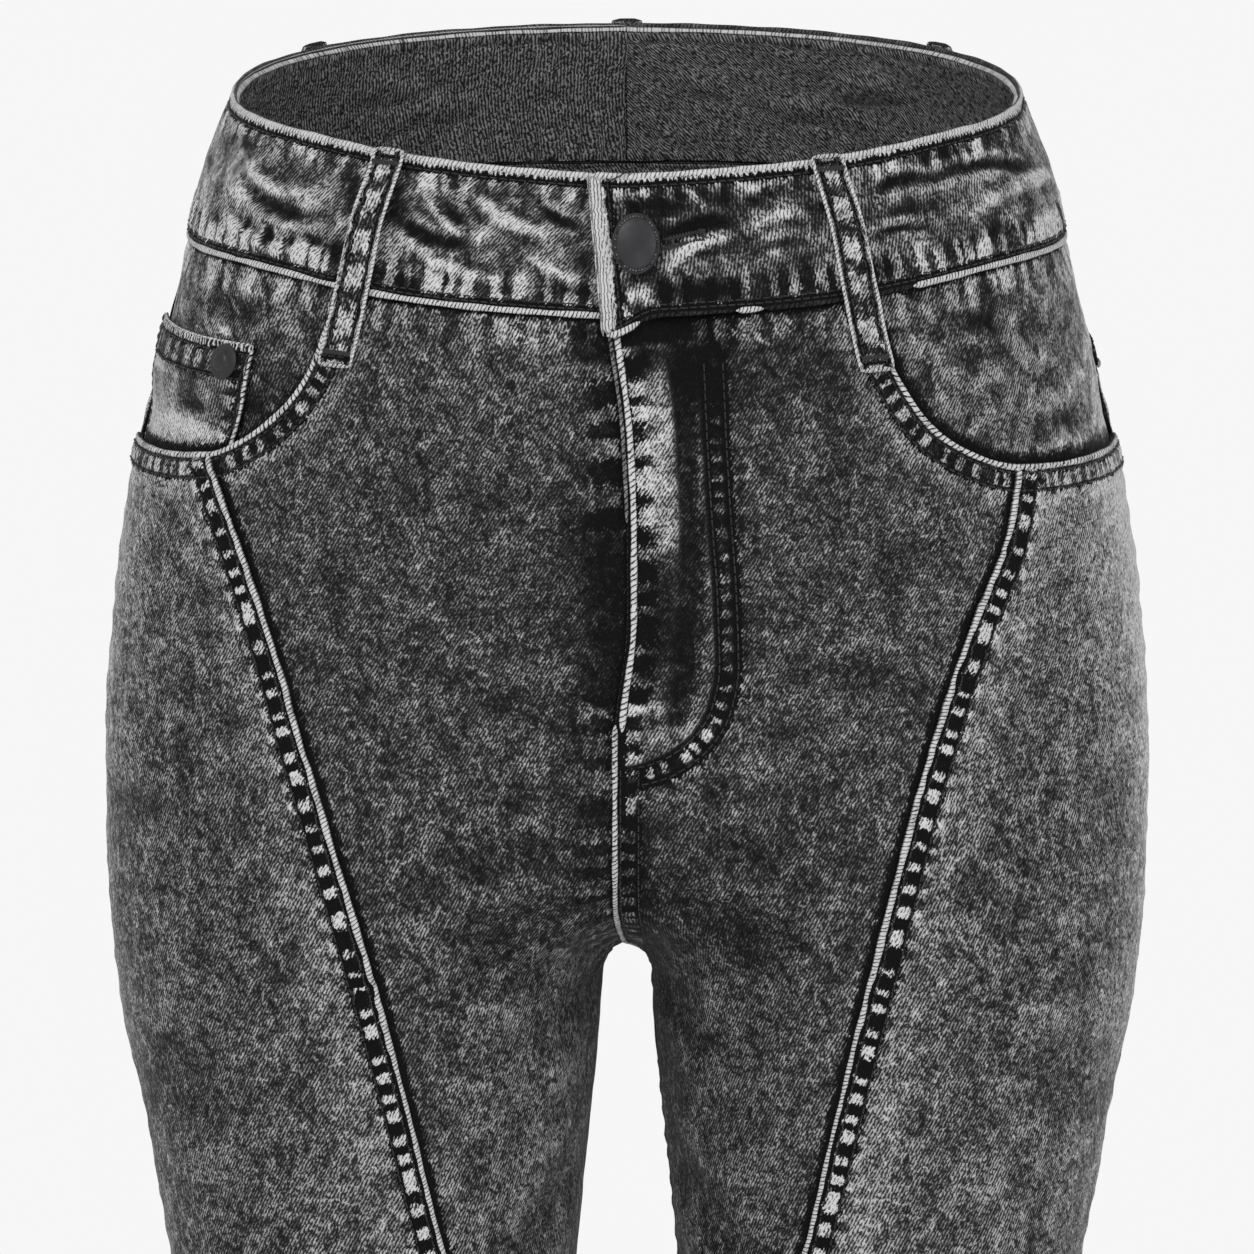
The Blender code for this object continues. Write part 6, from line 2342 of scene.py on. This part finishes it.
class JeansStageOperator(bpy.types.Operator):
    """Make the camera, the pale floor, the backdrop and the soft lights"""

    bl_idname = "jeans.stage"
    bl_label = "Stage"

    def execute(self, context):
        stage = context.scene.jeans_stage
        camera = bpy.data.objects.new("camera", bpy.data.cameras.new("camera"))
        context.scene.collection.objects.link(camera)
        aim = Vector((0, 0, stage.aim))
        camera.location = aim + stage.distance * Vector((0, -math.cos(stage.rise), math.sin(stage.rise)))
        look_at(camera, aim)
        camera.data.sensor_width = 36
        camera.data.lens = 36 * stage.distance / stage.frame_width
        camera.data.clip_start, camera.data.clip_end = 0.05, 60
        context.scene.camera = camera
        bpy.ops.object.select_all(action="DESELECT")
        bpy.ops.mesh.primitive_plane_add(size=6, location=(0, 0, 0))
        floor = context.object
        floor.name = floor.data.name = "floor"
        floor.data.transform(Matrix.Translation((0, 0, SIZES["cad"][0][2] - 0.002)))
        floor.data.materials.append(floor_material())
        floor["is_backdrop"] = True
        self.light_world(context, stage)
        for name, place_at, size, power in (
            ("key_light", (-1.5, -2.2, 1.9), 1.8, stage.key),
            ("fill_light", (2.2, -1.9, 0.5), 2.0, 0.42 * stage.key),
            ("low_light", (0.2, -2.6, -0.9), 1.6, 0.20 * stage.key),
            ("back_light", (0.4, 2.6, 0.9), 2.2, 0.9 * stage.key),
        ):
            light = bpy.data.objects.new(name, bpy.data.lights.new(name, "AREA"))
            light.data.shape = "DISK"
            light.data.size = size
            light.data.energy = power
            context.scene.collection.objects.link(light)
            light.location = place_at
            look_at(light, (0, 0, -0.3))
        context.scene.view_settings.view_transform = "Standard"
        return {"FINISHED"}

    def light_world(self, context, stage):
        world = bpy.data.worlds.new("studio")
        context.scene.world = world
        world.use_nodes = True
        tree = world.node_tree
        seen = node(tree, "LightPath")["Is Camera Ray"]
        strength = node(tree, "Mix", {0: seen, 2: 0.50, 3: stage.backdrop})[0]
        fill(tree, tree.nodes["Background"], {"Strength": strength, "Color": (1.0, 0.995, 1.0, 1)})


class JeansFrontCentres(bpy.types.Operator):
    """Lay the two middle panels of the front, from the waistband to the tips of the slanting seams"""

    bl_idname = "jeans.front_centres"
    bl_label = "Front centre panels"

    def execute(self, context):
        for side, end in SIDES:
            places = front_centre_places(side)
            seams = seams_of(side, "waist mouth slant inseam")
            lift = 0.0
            if side == LEFT:
                lift = fly_lift(places)
                seams |= {"fly_over": fly_fold(), "j_stitch": j_stitch()}
            else:
                seams["fly_under"] = centre_seam()
            lay_cloth("front_centre", f"front_centre_{end}", places, seams, lift)
        return {"FINISHED"}


class JeansFrontSides(bpy.types.Operator):
    """Lay the two outer panels of the front, from the pocket mouths to the hems"""

    bl_idname = "jeans.front_sides"
    bl_label = "Front side panels"

    def execute(self, context):
        for side, end in SIDES:
            seams = seams_of(side, "mouth slant side inseam") | {"hem": hem_part(side, INSEAM, 0.5, 200)}
            lay_cloth("front_side", f"front_side_{end}", front_side_places(side), seams)
        return {"FINISHED"}


class JeansBackLegs(bpy.types.Operator):
    """Lay the two backs, from the yokes to the hems"""

    bl_idname = "jeans.back_legs"
    bl_label = "Back panels"

    def execute(self, context):
        for side, end in SIDES:
            seams = seams_of(side, "yoke rise side inseam")
            seams |= {"hem": hem_part(side, 0.5, 1, 200), "outline": pocket_outline(side)[0]}
            lay_cloth("back_leg", f"back_leg_{end}", back_leg_places(side), seams)
        return {"FINISHED"}


class JeansYokes(bpy.types.Operator):
    """Lay the two back yokes under the waistband"""

    bl_idname = "jeans.yokes"
    bl_label = "Back yokes"

    def execute(self, context):
        for side, end in SIDES:
            seams = seams_of(side, "waist yoke rise side")
            lay_cloth("back_yoke", f"back_yoke_{end}", back_yoke_places(side), seams)
        return {"FINISHED"}


class JeansFacings(bpy.types.Operator):
    """Lay the cloth that shows inside the two front pockets' openings"""

    bl_idname = "jeans.facings"
    bl_label = "Pocket facings"

    def execute(self, context):
        for side, end in SIDES:
            places = facing_places(side)
            seams = seams_of(side, "waist mouth side")
            if side == RIGHT:
                seams["coin_side"] = coin_borders()["first"]
            lift = facing_lift(side, *places)
            lay_cloth("facing", f"pocket_facing_{end}", places, seams, lift, creases=FACING_CREASES)
        return {"FINISHED"}


class JeansCoinPocket(bpy.types.Operator):
    """Lay the small pocket on the wearer's right facing"""

    bl_idname = "jeans.coin_pocket"
    bl_label = "Coin pocket"

    def execute(self, context):
        places = coin_places()
        borders = coin_borders()
        seams = {
            "mouth": mouth_seam(RIGHT),
            "coin_top": borders["top"],
            "coin_side": borders["first"],
            "coin_outer": borders["last"],
        }
        lift = facing_lift(RIGHT, *places) + COIN_STEP
        lay_cloth("coin_pocket", "coin_pocket", places, seams, lift, COIN_CLOTH, {})
        return {"FINISHED"}


class JeansBackPockets(bpy.types.Operator):
    """Lay the two plain patch pockets with pointed feet"""

    bl_idname = "jeans.back_pockets"
    bl_label = "Back pockets"

    def execute(self, context):
        for side, end in SIDES:
            outline, opening = pocket_outline(side)
            seams = {"outline": outline, "opening": opening}
            places, lift = back_pocket_places(side), BACK_POCKET_LIFT + CLOTH
            lay_cloth("back_pocket", f"back_pocket_{end}", places, seams, lift, creases={})
        return {"FINISHED"}


class JeansWaistband(bpy.types.Operator):
    """Lay the two halves of the waistband, the left one with the flap that holds the buttonhole"""

    bl_idname = "jeans.waistband"
    bl_label = "Waistband"

    def execute(self, context):
        for side, end in SIDES:
            places, lift = waistband_places(side)
            borders = band_borders(side)
            seams = {"rim": borders["top"], "band_seam": borders["bottom"]}
            if side == LEFT:
                seams |= {"flap": borders["first"], "buttonhole": buttonhole()}
            thickness = context.scene.jeans_cloth.band_cloth
            lay_cloth("waistband", f"waistband_{end}", places, seams, lift, thickness, BAND_CREASES)
        return {"FINISHED"}


class JeansBeltLoops(bpy.types.Operator):
    """Lay the five belt loops over the waistband"""

    bl_idname = "jeans.belt_loops"
    bl_label = "Belt loops"

    def execute(self, context):
        for loop in LOOPS:
            places, lift = belt_loop_places(loop)
            borders = borders_of(places, lift)
            seams = {
                "loop_edge": both(borders["first"], borders["last"]),
                "loop_end": both(borders["top"], borders["bottom"]),
            }
            lay_cloth("belt_loop", loop.name, places, seams, lift, creases={})
        return {"FINISHED"}


class JeansEdges(bpy.types.Operator):
    """Roll the worn folded edges of the panels, the waistband, the loops and the pockets"""

    bl_idname = "jeans.edges"
    bl_label = "Folded edges"

    def execute(self, context):
        tubes = {}
        for name, line, radius in rope_rows():
            tubes.setdefault(name, []).append(folded_edge(line, radius))
        for name, made in tubes.items():
            material = folded_rope(name + "_rope", *ROPES[name])
            tube_piece(name + "_edges", made, material)
        return {"FINISHED"}


class JeansStitching(bpy.types.Operator):
    """Sew the rows of stitches and the bar tacks"""

    bl_idname = "jeans.stitching"
    bl_label = "Stitching"

    def execute(self, context):
        cloth = context.scene.jeans_cloth
        pieces = {}
        for name, line in topstitching():
            pieces.setdefault(name, []).extend(stitch_row(line, cloth.stitch, cloth.thread))
        pieces["bar_tacks"] = loop_tacks()
        pieces["buttonhole_threads"] = buttonhole_threads()
        pieces["stray_threads"] = stray_threads()
        for name, made in pieces.items():
            tube_piece(name, made, sewing_thread())
        return {"FINISHED"}


class JeansButton(bpy.types.Operator):
    """Model the button that fastens the waistband"""

    bl_idname = "jeans.button"
    bl_label = "Button"

    def execute(self, context):
        height, across = BUTTON_PLACE
        piece = stud("metal_button", BUTTON_WIDTH, BUTTON_HEIGHT, BUTTON_PROFILE, 72)
        piece.data.materials.append(painted_metal())
        piece.data.materials.append(rubbed_metal())
        add_dots(piece, BUTTON_WIDTH, BUTTON_HEIGHT)
        lift = BAND_LIFT + FLAP_RAISE + STACK_GAP
        set_stud(piece, height, around_at(height, across)[0], lift, "button")
        return {"FINISHED"}


class JeansRivet(bpy.types.Operator):
    """Model the rivet in the corner of the coin pocket"""

    bl_idname = "jeans.rivet"
    bl_label = "Rivet"

    def execute(self, context):
        height, around = RIVET_PLACE
        lift = float(facing_lift(RIGHT, np.array(height), np.array(around))) + COIN_STEP + STACK_GAP
        piece = stud("pocket_rivet", RIVET_WIDTH, RIVET_WIDTH, RIVET_PROFILE, 56)
        piece.data.materials.append(painted_metal())
        set_stud(piece, height, around, lift, "coin_rivet")
        return {"FINISHED"}


class JeansZip(bpy.types.Operator):
    """Make the tapes, the teeth and the slider of the closed zip behind the fly"""

    bl_idname = "jeans.zip"
    bl_label = "Zip"

    def execute(self, context):
        teeth = zip_chain()
        for piece in (teeth, zip_slider()):
            piece.data.materials.append(zip_metal())
            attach(piece, BODY)
        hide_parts("zip")
        for name, turn in (("zip_tape_right", -1), ("zip_tape_left", 1)):
            places = zip_tape(turn)
            points = place(*places, ZIP_LIFT)
            piece = add_mesh(name, points, grid_faces(*places[0].shape)[:, ::turn])
            set_uvs(piece.data, "cloth", flat_places(*places, "front"))
            piece.data.materials.append(zip_tape_cloth())
            finish_sheet(piece, ZIP_TAPE_THICK, 0, cut_size(points), "denim_dark")
        return {"FINISHED"}


class JeansPanel(bpy.types.Panel):
    """The jeans' sizes, colours and pieces in the sidebar"""

    bl_idname = "JEANS_PT_pieces"
    bl_label = "Flared jeans"
    bl_space_type = "VIEW_3D"
    bl_region_type = "UI"
    bl_category = "Jeans"

    def draw(self, context):
        layout = self.layout
        for settings in (context.scene.jeans_cloth, context.scene.jeans_wash, context.scene.jeans_stage):
            box = layout.box()
            for name in settings.__annotations__:
                box.prop(settings, name)
        for operator in OPERATORS:
            layout.operator(operator.bl_idname)


GROUPS = {"jeans_cloth": JeansCloth, "jeans_wash": JeansWash, "jeans_stage": JeansStage}
OPERATORS = (
    JeansStageOperator,
    JeansFrontCentres,
    JeansFrontSides,
    JeansBackLegs,
    JeansYokes,
    JeansFacings,
    JeansCoinPocket,
    JeansBackPockets,
    JeansWaistband,
    JeansBeltLoops,
    JeansEdges,
    JeansStitching,
    JeansButton,
    JeansRivet,
    JeansZip,
)


def register():
    for group_class in (*GROUPS.values(), *OPERATORS, JeansPanel):
        bpy.utils.register_class(group_class)
    for name, group_class in GROUPS.items():
        setattr(bpy.types.Scene, name, PointerProperty(type=group_class))


def unregister():
    for name in GROUPS:
        delattr(bpy.types.Scene, name)
    for group_class in (JeansPanel, *reversed(OPERATORS), *GROUPS.values()):
        bpy.utils.unregister_class(group_class)


def main():
    register()
    bpy.ops.jeans.stage()
    bpy.ops.jeans.front_centres()
    bpy.ops.jeans.front_sides()
    bpy.ops.jeans.back_legs()
    bpy.ops.jeans.yokes()
    bpy.ops.jeans.facings()
    bpy.ops.jeans.coin_pocket()
    bpy.ops.jeans.back_pockets()
    bpy.ops.jeans.waistband()
    bpy.ops.jeans.belt_loops()
    bpy.ops.jeans.edges()
    bpy.ops.jeans.stitching()
    bpy.ops.jeans.button()
    bpy.ops.jeans.rivet()
    bpy.ops.jeans.zip()
    SIZES["visual"] = [list(corner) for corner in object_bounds()]


if __name__ == "__main__":
    main()
